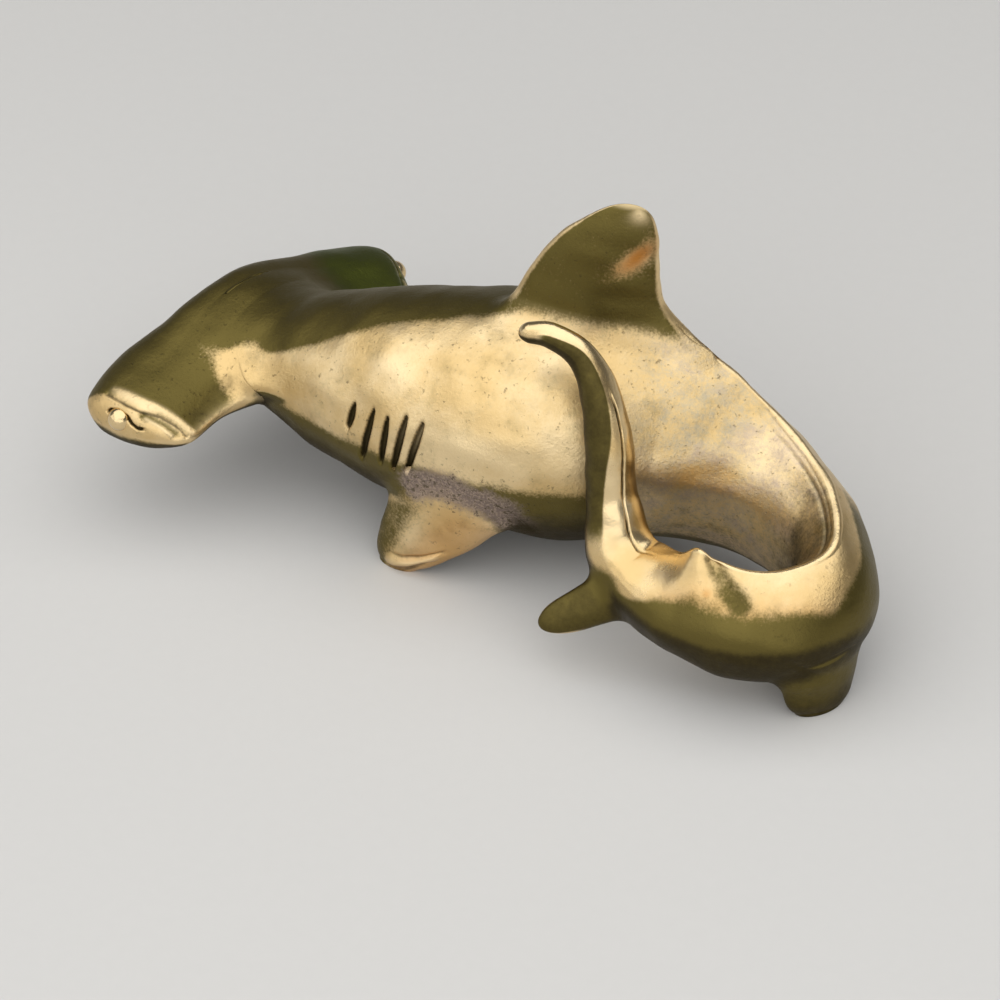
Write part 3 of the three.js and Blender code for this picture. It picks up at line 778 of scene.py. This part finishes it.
class FigurineColours(bpy.types.PropertyGroup):
    """Colours of the brass and of what has grown on it. Olive and dark oxide also paint shade, and pale gold
    also paints highlights.
    """

    gold: colour_setting("Gold", "Bare brass, warm", (0.66, 0.470, 0.215))
    # Pale gold is also the colour of painted highlights on edges and lit faces
    pale_gold: colour_setting("Pale gold", "Bare brass, pale", (0.80, 0.625, 0.36))
    # Olive is also the colour of painted shade on undersides, in hollows, on the back and on the curl's right
    # side
    olive: colour_setting("Olive", "Brown-green film on brass", (0.135, 0.105, 0.030))
    # Dark oxide is also the colour of painted shade in recesses, creases and on faces turned to the table
    soot: colour_setting("Dark oxide", "Dark oxide in recesses", (0.045, 0.034, 0.014))
    haze_cool: colour_setting("Cool haze", "Cloudy grey-green oxide", (0.42, 0.39, 0.30))
    haze_warm: colour_setting("Warm haze", "Cloudy violet-brown oxide", (0.45, 0.355, 0.29))
    scale: colour_setting("Scale", "Pitted scale at the brazed seams", (0.27, 0.21, 0.19))
    green: colour_setting("Green", "Green tarnish", (0.085, 0.11, 0.018))
    glow: colour_setting("Copper red", "Copper-red tint", (0.50, 0.19, 0.025))


# Operators

def lapped(station, before=False, after=False):
    """A casting's stations carried on past the seams before and after it, and how deep each ring sinks."""
    past = LAP * np.array(LAP_STEPS)
    sunk = np.zeros(len(station))
    if before:
        station = np.concatenate([station[0] - past[::-1] / pitch(station[0]), station])
        sunk = np.concatenate([sink(past[::-1]), sunk])
    if after:
        station = np.concatenate([station, station[-1] + past / pitch(station[-1])])
        sunk = np.concatenate([sunk, sink(past)])
    return station[:, None], sunk[:, None]


def tail_groove(points):
    """The groove beside the tail's rim, 0 to 1: flat-bottomed across and fading at its two ends."""
    distance, place = along_path(points, body_path(TAIL_GROOVE))
    return flat_bell(distance, 0.11) * stretch(place, 0, 0.15, 0.66, 0.97)


def scoops(points):
    """The hollows beside the second dorsal peak, 0 to 1: the scoop before it and the soft one behind it."""
    before, place = along_path(points, body_path(SCOOP))
    behind, _ = along_path(points, body_path(PEAK_HOLLOW))
    return bell(before, 0.55 + 0.65 * place), bell(behind, 1.0)


def skin_relief(points, grooved, sizes):
    """How far the body's skin stands above its smooth form, in millimetres: the unevenness, less the tail's
    groove and the hollows beside the peak."""
    scooped, hollowed = scoops(points)
    return (handwork(points, sizes.unevenness / MM) - grooved * sizes.groove_depth / MM
            - (SCOOP_SHARE * scooped + HOLLOW_SHARE * hollowed) * sizes.hollow_depth / MM)


def pectoral_scale(points):
    """Pitted scale along the seams of both pectoral fins."""
    share = np.zeros(points.shape[:-1])
    for side in (-1, 1):
        distance, place = along_path(points, body_path(PECTORAL_SEAM, side))
        share = np.maximum(share, bell(distance, 1.75) * ease(-0.01, 0.15, place))
    return share


def pelvic_folds(station, angle):
    """Two folds of the skin over each pelvic fin, 0 to 1: a bell across each, which fades at its ends."""
    degrees = np.degrees(np.abs(wrapped(angle)))
    below = np.where(np.sin(angle) > 0, 0, np.minimum(degrees, 180 - degrees))
    folds = 0
    for fold, width, depth in PELVIC_FOLDS:
        across = np.radians(below - read_off(fold, station)) * FLANK_RADIUS
        within = ease(0, FOLD_FADE, station - fold[0][0]) * ease(0, FOLD_FADE, fold[-1][0] - station)
        folds = folds + bell(across, width) * depth * within
    return folds


def neck_patch(points):
    """The bare patch on the wing beside the neck, 0 to 1."""
    return ease(3.2, 1.4, apart(points, wing_point(*NECK_PATCH)))


def neck_crevice_shade(split, normals):
    """Painted shade in the tight crevice where the head meets the neck from below."""
    return bell(split, 0.4) * ease(0.35, -0.3, normals[..., 2]) * 0.9


def body_polish(station):
    """How smooth the body's metal is: satin on the trunk, brighter towards the tail."""
    return 0.2 + 0.3 * ease(5.5, 8.5, station) + 0.4 * ease(9.6, 10.6, station)


def back_film_and_shade(points, station, leftward):
    """The olive band along the back, patina that also paints the shade of the back, down to its drawn edge on
    the left, and bare beside the neck.
    """
    edge = read_off(BACK_FILM_AND_SHADE, station)
    band = ease(7, -7, leftward - edge) * ease(-edge - 55, -edge - 35, leftward) * ease(5.4, 4.5, station)
    return band * (1 - neck_patch(points))


def curl_film_and_shade(station, leftward):
    """Olive patina that paints the shade below its drawn edge on the right side of the curl's end, and the
    amber tint along it.
    """
    drop = read_off(TAIL_FILM_AND_SHADE, station) - (leftward + 90)
    soft = 7 + 11 * bell(station - 9.4, 0.9)
    reach = stretch(station, 6.6, 7.4, 10.9, 11.6) * ease(-150, -120, leftward)
    amber = 0.3 * bell(drop - 4, 14) * reach * stretch(station, 8.0, 8.6, 10.0, 10.6)
    return 0.9 * ease(-soft, soft, drop) * reach, amber


def body_marks(points, normals, station, angle):
    """Marks of the body's skin at stations and angles: the films, olive patina that also paints shade on the
    back, on the curl's right side and in the scoop, the crest's rim worn bright and with a painted highlight,
    the cloudy inner wall of the curl, painted shade at the deep end of the curl, round the lower lobe's root
    and on faces turned to the table, and a painted highlight on the lower left flank."""
    up = normals[..., 2]
    left = np.cos(angle) < 0
    leftward = np.degrees(wrapped(angle - math.pi / 2))
    crest = np.radians(np.abs(leftward)) * np.interp(station, range(len(STATIONS)), STATIONS[:, 5])
    # rim: the crest's rim, worn bright and with a painted highlight
    rim = stretch(station, 4.9, 5.5, 9.9, 10.3) * ease(0.95, 0.6, crest)
    inner = left * stretch(station, 4.3, 5.0, 9.0, 9.6)
    # end: painted shade deep in the curl's pocket, darker towards the bottom
    end = inner * np.maximum(ease(5.9, 7.4, station), 0.55 * ease(12.5, 6.5, points[..., 2]))
    tail = ease(7.4, 8.6, station) * ~left
    curl, amber = curl_film_and_shade(station, leftward)
    spot = 0.55 * bell(apart(points, body_point(*AMBER_SPOT)), 0.45)
    root = body_point(FINS["lower_lobe"]["station"], math.radians(FINS["lower_lobe"]["angle"]))
    # lobe: painted shade on the body round the lower lobe's root
    lobe = 0.9 * ease(4.0, 2.2, apart(points, root))
    # low and under: painted shade on faces turned towards the table
    low = up + 0.5 * left * stretch(station, 4.6, 5.0, 6.4, 7.6)
    under = ease(0.08, -0.18, low)
    # A painted highlight on the lower left flank
    lower_flank_highlight = 0.6 * bell(up - 0.24, 0.15) * left * stretch(station, 2.6, 3.2, 4.6, 5.6)
    scooped, hollowed = scoops(points)
    nicked = bell(crest - 0.2, 0.5) * bell(station - 5.1, 0.15)
    # The scoop's olive patina and dark oxide are painted shade in that hollow
    film = np.maximum.reduce([back_film_and_shade(points, station, leftward), end * 0.4, curl, lobe, under, scooped])
    # dark: painted shade, as dark oxide, on faces turned towards the table
    dark = 0.75 * ease(0.35 * tail, -0.55 + 0.5 * tail, low)
    return {
        "polish": body_polish(station),
        "film": film * (1 - rim),
        "soot": np.maximum.reduce([dark, end * 0.5, scooped * 0.5]),
        "haze": np.maximum(inner * ease(0.9, 1.8, crest), 0.45 * hollowed),
        "rub": np.maximum(rim * 0.9, lower_flank_highlight),
        "glow": np.maximum(amber, spot),
        "oxide": np.maximum(pectoral_scale(points), 0.5 * nicked),
    }


def joined(marks, **more):
    """Marks with more of some of them."""
    return marks | {mark: np.maximum(marks.get(mark, 0), value) for mark, value in more.items()}


class FIGURINE_OT_trunk(bpy.types.Operator):
    """Add the trunk: the body from the neck's seam to the tail's seam, with gill slits and a rimmed crest"""

    bl_idname = "figurine.trunk"
    bl_label = "Trunk"

    def execute(self, context):
        sizes = context.scene.figurine_sizes
        ahead, gills, behind = TRUNK_ROWS
        station, sunk = lapped(np.concatenate([
            np.linspace(NECK_SEAM, GILLS_START, ahead)[:-1], np.linspace(GILLS_START, THROAT, gills)[:-1],
            np.linspace(THROAT, TAIL_SEAM, behind)]), before=True, after=True)
        angle = turns(TRUNK_COLUMNS)[None]
        rings = body_point(station, angle)
        throat = station[:, 0] < THROAT
        split = np.full(rings.shape[:2], -FAR)
        outward = unit(rings - body_frame(station)[0])
        rings[throat], split[throat] = melded(
            rings[throat], outward[throat], body_level(NECK_START, THROAT), wing_level)
        normals = ring_normals(rings)
        slits, shade = gill_slits(rings)
        away = apart(rings, body_point(station, math.pi / 2))
        crease = (bell(away - CREASE_AWAY, CREASE_WIDTH) * (np.sin(angle) > 0) * (np.cos(angle) < 0)
                  * stretch(station, 5.0, 7.2, 8.9, 9.5))
        grooved = tail_groove(rings)
        folded = pelvic_folds(station, angle)
        nick, _ = along_path(rings, body_path(DORSAL_NICK))
        relief = (skin_relief(rings, grooved, sizes) - slits * sizes.slit_depth / MM
                  - (crease + folded + 2 * bell(nick, 0.16)) * sizes.crease_depth / MM - sunk)
        shaped = rings + normals * relief[..., None]
        # The soot mark here paints shade in the gill slits and round them, in the curl's crease, the pelvic
        # folds, the nick behind the dorsal fin, the tail's groove and the crevice under the head
        marks = joined(body_marks(shaped, normals, station, angle), soot=np.maximum.reduce([
            slits * 1.3, shade * 0.2, crease * 0.65, folded * 0.7, bell(nick, 0.2), grooved * 0.75,
            neck_crevice_shade(split, normals)]))
        make_casting("trunk_casting", "trunk", [closed(shaped, marks)],
                     brass("trunk brass", context.scene.figurine_colours))
        return {"FINISHED"}


class FIGURINE_OT_tail(bpy.types.Operator):
    """Add the tail's upper lobe, a tapering hook with a groove beside its rim"""

    bl_idname = "figurine.tail"
    bl_label = "Tail upper lobe"

    def execute(self, context):
        end = TAIL_TIP - TIP_ROUNDING
        tip = end + TIP_ROUNDING * np.sin(np.linspace(0, 1, TIP_ROWS) * (math.pi / 2 - POLE_GAP))
        station, sunk = lapped(
            np.concatenate([np.linspace(TAIL_SEAM, end, TAIL_ROWS)[:-1], tip]), before=True)
        angle = turns(TAIL_COLUMNS)[None]
        rings = body_point(station, angle)
        normals = ring_normals(rings)
        grooved = tail_groove(rings)
        relief = skin_relief(rings, grooved, context.scene.figurine_sizes) - sunk
        shaped = rings + normals * relief[..., None]
        degrees = np.degrees(wrapped(angle))
        beyond = degrees - read_off(TAIL_GROOVE[::-1], station)
        face = (stretch(station, 11.2, 12.0, 15.0, 15.5) * ease(-115, -95, degrees)
                * ease(6, -6, degrees - read_off(HOOK_FILM, station)))
        # The groove gets painted shade and the band beyond it a painted highlight
        marks = joined(
            body_marks(shaped, normals, station, angle),
            soot=np.maximum(grooved * 0.85, face * 0.5), film=face * 0.9,
            rub=stretch(beyond, 3, 14, 80, 95) * ease(10.6, 11.2, station) * 0.7)
        make_casting("tail_hook", "tail_upper_lobe", [closed(shaped, marks)],
                     brass("tail brass", context.scene.figurine_colours))
        return {"FINISHED"}


def wing_sides():
    """Shares of the half span for the wing's rings: even along it and close together round its tips."""
    tilt = np.linspace(math.asin(WING_BEND ** (TIP_POWER / 2)), math.pi / 2 - WING_GAP, WING_TIP_ROWS)
    tip = np.sin(tilt) ** (2 / TIP_POWER)
    return np.concatenate([-tip[::-1], np.linspace(-WING_BEND, WING_BEND, WING_ROWS)[1:-1], tip])


def from_ends(wing, side, pairs):
    """Distance of the wing's points from a line drawn on both its ends, and how far along it they lie."""
    distance, place = np.full(wing.shape[:2], FAR), np.zeros(wing.shape[:2])
    for way in (-1, 1):
        half = side[:, 0] * way > 0
        distance[half], place[half] = along_path(wing[half], wing_path(pairs, way))
    return distance, place


def wing_sheet(sizes):
    """The head's wing with its drawn ends and its marks, among them painted shade and highlights, melted into
    the neck.
    """
    side, angle = wing_sides()[:, None], turns(HEAD_COLUMNS)[None]
    wing = wing_point(side, angle)
    wing, split = melded(wing, ring_normals(wing), wing_level, body_level(NECK_START, THROAT))
    normals = ring_normals(wing)
    up = normals[..., 2]
    lid, lid_place = from_ends(wing, side, EYE_LID)
    crease, crease_place = from_ends(wing, side, END_CREASE)
    ridge, hollow, dish = (from_ends(wing, side, line)[0] for line in (END_RIDGE, END_HOLLOW, LOBE_HOLLOW))
    lidded = flat_bell(lid, 0.16) * stretch(lid_place, 0, 0.12, 0.85, 1)
    creased = bell(crease, 0.14) * ease(0, 0.15, crease_place)
    hollowed, dished = bell(hollow, 0.42), bell(dish, 1.1)
    relief = (handwork(wing, sizes.unevenness / MM) - lidded * sizes.lid_depth / MM
              - creased * sizes.crease_depth / MM - (0.5 * hollowed + 0.8 * dished) * sizes.hollow_depth / MM
              + bell(ridge, 0.16) * RIDGE_HEIGHT)
    shaped = wing + normals * relief[..., None]
    lean = np.abs(side)
    # Painted highlights: above the near lobe's crease, along the trailing edge and on the end's ridge
    crease_highlight = (bell(crease - 0.75, 0.55) * ease(0.05, 0.3, crease_place)
                    * stretch(lean, 0.84, 0.88, 0.91, 0.94) * (side < 0))
    trailing_highlight = bell(wrapped(angle - math.pi + 0.12), 0.22) * ease(0.3, 0.5, lean)
    bare = np.maximum.reduce([crease_highlight, trailing_highlight * 0.6, bell(ridge, 0.18) * 0.8])
    station, around, above_neck = body_places(NECK_START, THROAT)(shaped)
    near_neck = ease(4.0, 0.5, above_neck) * ease(0.7, 0.45, lean) * ease(0.6, -0.2, np.cos(angle))
    neck_film_and_shade = body_marks(shaped, normals, station, around)["film"]
    # The olive patina on the wing's top also paints the top's shade
    film = 0.95 * ease(-0.15, 0.3, up) * ease(0.93, 0.88, lean) * (1 - neck_patch(shaped))
    film = (film + (neck_film_and_shade - film) * near_neck) * (1 - bare)
    return closed(shaped, {
        "polish": 0.15,
        # Painted shade on faces turned down, in the lid line, the crease, the hollows and the crevice under
        # the head
        "film": np.maximum.reduce([film, hollowed * 0.7, 0.9 * ease(-0.1, -0.5, up)]),
        "soot": np.maximum.reduce([lidded * 1.3, creased * 0.7, dished * 0.45, neck_crevice_shade(split, normals),
                                   0.75 * ease(0.0, -0.55, up)]),
        "rub": bare,
        "green": ease(0.25, 0.7, side) * ease(-0.1, 0.4, up),
    })


def neck_sheet(sizes):
    """The front of the neck with its marks, rounded off inside the head and melted into the wing."""
    angle = turns(HEAD_COLUMNS)[None]
    station, sunk = lapped(np.concatenate([
        np.full(CAP_ROWS, NECK_START), np.linspace(NECK_START, NECK_SEAM, NECK_ROWS)]), after=True)
    centre, along, _, _, size = body_frame(np.array(NECK_START))
    tilt = np.linspace(CAP_TILT, 0, CAP_ROWS, endpoint=False)[:, None, None]
    cap = centre + (body_point(NECK_START, angle) - centre) * np.cos(tilt) - along * size[0] * np.sin(tilt)
    neck = np.concatenate([cap, body_point(station[CAP_ROWS:], angle)])
    outward = unit(neck - body_frame(station)[0])
    neck, split = melded(neck, outward, body_level(NECK_START, THROAT), wing_level)
    normals = ring_normals(neck)
    relief = handwork(neck, sizes.unevenness / MM) - sunk
    shaped = neck + normals * relief[..., None]
    marks = body_marks(shaped, normals, station, angle)
    return closed(shaped, joined(marks, soot=neck_crevice_shade(split, normals)))


class FIGURINE_OT_head(bpy.types.Operator):
    """Add the head: a wing with drawn ends, melted into the front of the neck"""

    bl_idname = "figurine.head"
    bl_label = "Head"

    def execute(self, context):
        sizes = context.scene.figurine_sizes
        make_casting("hammer_head", "head", [wing_sheet(sizes), neck_sheet(sizes)],
                     brass("head brass", context.scene.figurine_colours))
        return {"FINISHED"}


class FIGURINE_OT_eyes(bpy.types.Operator):
    """Add the eyes: round beads in the ends of the head's wing"""

    bl_idname = "figurine.eyes"
    bl_label = "Eyes"

    def execute(self, context):
        metal = brass("eye brass", context.scene.figurine_colours)
        tilt, angle = np.linspace(POLE_GAP, math.pi - POLE_GAP, EYE_ROWS)[:, None], turns(EYE_COLUMNS)[None]
        globe = np.stack([np.sin(tilt) * np.cos(angle), np.sin(tilt) * np.sin(angle),
                          np.cos(tilt) + 0 * angle], -1)
        for name, way in (("left_eye", -1), ("right_eye", 1)):
            low, high = (np.array(corner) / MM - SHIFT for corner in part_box(name))
            centre = (low + high) / 2
            inward = unit(wing_frame(EYE_AIM * way)[0] - centre)
            ahead = unit(FORWARD - inward * dot(FORWARD, inward))
            bead = centre + inward * EYE_SINK + ahead * EYE_AHEAD + globe * EYE_RADIUS
            marks = {"polish": 1.0, "rub": 0.8}
            make_casting(name + "_bead", name, [closed(bead, marks)], metal)
        return {"FINISHED"}


def fin_rings(fin_name, side, reach, columns=120, rows=70):
    """Rings of a fin's blade with its fillet, cut flat where it stands on the table, the shares of its
    height, the turns round it, the way out of the body at its root, and the body's places near it."""
    fin = FINS[fin_name]
    spread = (fin["chord"][0] + fin["trail"]) / pitch(fin["station"]) + FIN_MARGIN
    ends = fin["station"] - spread, fin["station"] + spread
    level = body_level(*ends)
    shares = 1 - (1 - np.linspace(0, 1, rows)) ** 2
    rings = rooted(fin_wall(fin, side), level, reach, turns(columns), shares)
    rings[..., 2] = np.maximum(rings[..., 2], 0)
    _, outward = gap_to(level, rings[:1].mean(1))
    height = np.concatenate([np.zeros(len(rings) - rows + 1), shares[1:]])[:, None]
    return rings, height, turns(columns)[None], outward[0], body_places(*ends)


def add_fin(context, fin, relief, marks, spread, name, node):
    """A fin's casting, from its rings, the relief on them and its marks, which give way to the body's where
    the fillet is less than spread above the skin."""
    rings, _, _, outward, places = fin
    sizes = context.scene.figurine_sizes
    normals = ring_normals(rings)
    station, angle, above = places(rings)
    near = ease(spread, spread * 0.1, above)
    skin = body_marks(rings, normals, station, angle)
    folded = pelvic_folds(station, angle) * near
    blended = {mark: skin.get(mark, 0) * near + marks.get(mark, 0) * (1 - near) for mark in MARKS}
    relief = relief + handwork(rings, sizes.unevenness / MM) - folded * sizes.crease_depth / MM
    shaped = rings + normals * (relief * ease(0, 0.3, rings[..., 2]))[..., None]
    make_casting(name, node, [closed(shaped, joined(blended, soot=folded * 0.7), FIN_PLUG * outward)],
                 brass(name.replace("_", " ") + " brass", context.scene.figurine_colours))


class FIGURINE_OT_dorsal_fin(bpy.types.Operator):
    """Add the dorsal fin, with a painted highlight along its rounded edge"""

    bl_idname = "figurine.dorsal_fin"
    bl_label = "Dorsal fin"

    def execute(self, context):
        reach = context.scene.figurine_sizes.fin_fillet / MM * 1.5
        fin = fin_rings("dorsal", 1, reach, 220, 140)
        _, height, turn, _, _ = fin
        place = np.cos(turn)
        # edge and tip: painted highlights, the tip's on the near side only
        edge = np.maximum(ease(0.93, 0.99, np.abs(place)) * ease(0.0, 0.3, height), ease(0.93, 0.99, height))
        tip = bell(height - 0.93, 0.07) * bell(place - 0.5, 0.35)
        near = np.sin(turn) > 0
        shine = bell(place - 0.62 - 1.2 * (height - 0.55), 0.24) * bell(height - 0.54, 0.19) * near
        marks = {
            "polish": 0.25,
            "rub": np.maximum(edge * 0.8, tip * near),
            "film": 0.8 * ease(0.99, 0.9, np.abs(place)) * (1 - shine),
            "glow": shine,
        }
        add_fin(context, fin, 0, marks, 1.8, "dorsal_blade", "dorsal_fin")
        return {"FINISHED"}


def pectoral_look(rings, turn, side):
    """Relief and marks of a pectoral fin: the lip across its outer face with a painted highlight, the groove
    over it, painted shade in that groove, below the lip and on the face towards the body, olive patina on its
    front face, a copper tint on its outer rear face, and the scale at its seam."""
    outer, ahead = np.sin(turn) * side, -np.cos(turn)
    around = np.degrees(turn if side > 0 else ROUND - turn)
    front = stretch(around, 42, 60, 104, 128)
    line = rings[..., 2] - read_off(PECTORAL_LIP, around)
    lip = bell(line, 0.38) * front
    groove = bell(line - 0.85, 0.26) * front
    # The lip carries a painted highlight; the groove, the face below the lip and the face towards the body
    # carry painted shade
    return lip * 0.22 - groove * 0.14, {
        "polish": 0.25,
        "rub": lip,
        "oxide": pectoral_scale(rings),
        "soot": np.maximum(groove * 0.45, 0.55 * ease(0.0, -0.7, line) * front),
        "film": np.maximum(0.65 * ease(0.1, 0.7, ahead) * (1 - lip), 0.9 * ease(0.3, -0.3, outer)),
        "glow": 0.35 * ease(0.4, -0.2, ahead) * ease(-0.3, 0.3, outer),
    }


class FIGURINE_OT_paired_fins(bpy.types.Operator):
    """Add the pectoral and pelvic fins that the figurine stands on"""

    bl_idname = "figurine.paired_fins"
    bl_label = "Pectoral and pelvic fins"

    def execute(self, context):
        reach = context.scene.figurine_sizes.fin_fillet / MM
        for side, word in ((-1, "left"), (1, "right")):
            fin = fin_rings("pectoral", side, reach, 160, 110)
            relief, marks = pectoral_look(fin[0], fin[2], side)
            add_fin(context, fin, relief, marks, 1.2, word + "_pectoral_blade", word + "_pectoral_fin")
            fin = fin_rings("pelvic", side, reach * 0.6)
            # shade: olive patina and dark oxide that also paint the shade under the body, deepening towards
            # the table
            shade = ease(4.0, 0.3, fin[0][..., 2])
            marks = {"polish": 0.45, "film": 0.8 + 0.15 * shade, "soot": 0.2 + 0.4 * shade}
            add_fin(context, fin, 0, marks, 0.8, word + "_pelvic_blade", word + "_pelvic_fin")
        return {"FINISHED"}


class FIGURINE_OT_lower_lobe(bpy.types.Operator):
    """Add the tail's lower lobe, with painted shade over it and a painted highlight on its edge"""

    bl_idname = "figurine.lower_lobe"
    bl_label = "Tail lower lobe"

    def execute(self, context):
        reach = context.scene.figurine_sizes.fin_fillet / MM * 0.8
        fin = fin_rings("lower_lobe", 1, reach)
        _, height, turn, _, _ = fin
        # A painted highlight along the edge; painted shade as olive patina and dark oxide elsewhere
        edge = ease(0.9, 0.99, np.abs(np.cos(turn))) * ease(0.3, 0.7, height)
        marks = {"polish": 0.75, "rub": edge * 0.6, "film": 0.95 * (1 - edge), "soot": 0.45 * (1 - edge)}
        add_fin(context, fin, 0, marks, 1.0, "lower_lobe_blade", "tail_lower_lobe")
        return {"FINISHED"}


# Studio: where the camera looks and from how far, and the lamps as place, aim, width, depth and radiance
LOOK_AT = np.array([0.0, 0.0, 9.0]) + SHIFT
CAMERA_DISTANCE = 0.330
CAMERA_ELEVATION = math.radians(40)
CAMERA_LENS = 154.4
FLOOR_RADIUS, FLOOR_CORNERS = 3.0, 96
FLOOR_COLOUR = (0.62, 0.61, 0.59, 1.0)
HORIZON, SKY = 0.45, 0.14
LAMPS = {
    "overhead softbox": ((-0.06, -0.16, 0.35), (-0.06, -0.16, 0.0), 0.95, 0.72, 1.45),
    "front softbox": ((-0.12, -0.62, 0.20), (0, 0, 0.02), 1.1, 0.34, 1.3),
    "left softbox": ((-0.60, -0.12, 0.20), (0, 0, 0.02), 0.5, 0.28, 1.05),
}


def aimed(thing, place, target):
    """Puts a camera or lamp in its place and turns it to look at a target."""
    thing.location = place
    thing.rotation_euler = (Vector(target) - Vector(place)).to_track_quat("-Z", "Y").to_euler()
    bpy.context.scene.collection.objects.link(thing)


class FIGURINE_OT_stage(bpy.types.Operator):
    """Add the studio: a plain pale floor, softboxes, an even surround and the camera"""

    bl_idname = "figurine.stage"
    bl_label = "Studio"

    def execute(self, context):
        scene = context.scene
        angle = turns(FLOOR_CORNERS)
        rim = np.stack([np.cos(angle), np.sin(angle), 0 * angle], -1) * FLOOR_RADIUS
        mesh = bpy.data.meshes.new("floor")
        mesh.from_pydata(rim.tolist(), [], [list(range(FLOOR_CORNERS))])
        paper = Tree("pale floor")
        grain = paper.clouds(900, 4, 0.6, paper.add("ShaderNodeTexCoord", {}, output="Object"))
        shade = tuple(0.97 * part for part in FLOOR_COLOUR[:3]) + (1.0,)
        paper.feed(paper.shader.inputs["Base Color"], paper.blend(grain, FLOOR_COLOUR, shade))
        paper.feed(paper.shader.inputs["Roughness"], 0.85)
        mesh.materials.append(paper.material)
        floor = bpy.data.objects.new("floor", mesh)
        scene.collection.objects.link(floor)
        for name, (place, target, width, depth, radiance) in LAMPS.items():
            lamp = bpy.data.lights.new(name, "AREA")
            lamp.shape, lamp.size, lamp.size_y = "RECTANGLE", width, depth
            lamp.energy = radiance * math.pi * width * depth
            panel = bpy.data.objects.new(name, lamp)
            panel.visible_camera = False
            aimed(panel, place, target)
        world = bpy.data.worlds.new("studio surround")
        world.use_nodes = True
        nodes, links = world.node_tree.nodes, world.node_tree.links
        way, parts, fade = (nodes.new(kind) for kind in (
            "ShaderNodeTexCoord", "ShaderNodeSeparateXYZ", "ShaderNodeMapRange"))
        fade.interpolation_type = "SMOOTHSTEP"
        for socket, value in zip(fade.inputs[1:5], (0.08, 0.22, HORIZON, SKY)):
            socket.default_value = value
        links.new(way.outputs["Generated"], parts.inputs[0])
        links.new(parts.outputs["Z"], fade.inputs[0])
        links.new(fade.outputs[0], nodes["Background"].inputs["Strength"])
        nodes["Background"].inputs["Color"].default_value = (1.0, 1.0, 1.0, 1.0)
        scene.world = world
        camera = bpy.data.cameras.new("camera")
        camera.lens, camera.sensor_width = CAMERA_LENS, 36.0
        camera.clip_start, camera.clip_end = 0.01, 20.0
        back = np.array([0.0, -math.cos(CAMERA_ELEVATION), math.sin(CAMERA_ELEVATION)])
        target = LOOK_AT * MM
        viewer = bpy.data.objects.new("camera", camera)
        aimed(viewer, tuple(target + back * CAMERA_DISTANCE), tuple(target))
        scene.camera = viewer
        scene.view_settings.view_transform = "Standard"
        return {"FINISHED"}


OPERATORS = (FIGURINE_OT_stage, FIGURINE_OT_trunk, FIGURINE_OT_head, FIGURINE_OT_eyes, FIGURINE_OT_tail,
             FIGURINE_OT_lower_lobe, FIGURINE_OT_dorsal_fin, FIGURINE_OT_paired_fins)


class FIGURINE_PT_panel(bpy.types.Panel):
    """Lists the figurine's settings and operators"""

    bl_idname = "FIGURINE_PT_panel"
    bl_label = "Shark Figurine"
    bl_space_type = "VIEW_3D"
    bl_region_type = "UI"
    bl_category = "Shark Figurine"

    def draw(self, context):
        for group in (context.scene.figurine_sizes, context.scene.figurine_colours):
            for key in group.__annotations__:
                self.layout.prop(group, key)
        for operator in OPERATORS:
            self.layout.operator(operator.bl_idname)


CLASSES = (FigurineSizes, FigurineColours, *OPERATORS, FIGURINE_PT_panel)


def register():
    for item in CLASSES:
        bpy.utils.register_class(item)
    bpy.types.Scene.figurine_sizes = bpy.props.PointerProperty(type=FigurineSizes)
    bpy.types.Scene.figurine_colours = bpy.props.PointerProperty(type=FigurineColours)


def unregister():
    del bpy.types.Scene.figurine_colours
    del bpy.types.Scene.figurine_sizes
    for item in reversed(CLASSES):
        bpy.utils.unregister_class(item)


def main():
    register()
    for operator in OPERATORS:
        name = operator.bl_idname.split(".")[1]
        getattr(bpy.ops.figurine, name)()


if __name__ == "__main__":
    main()
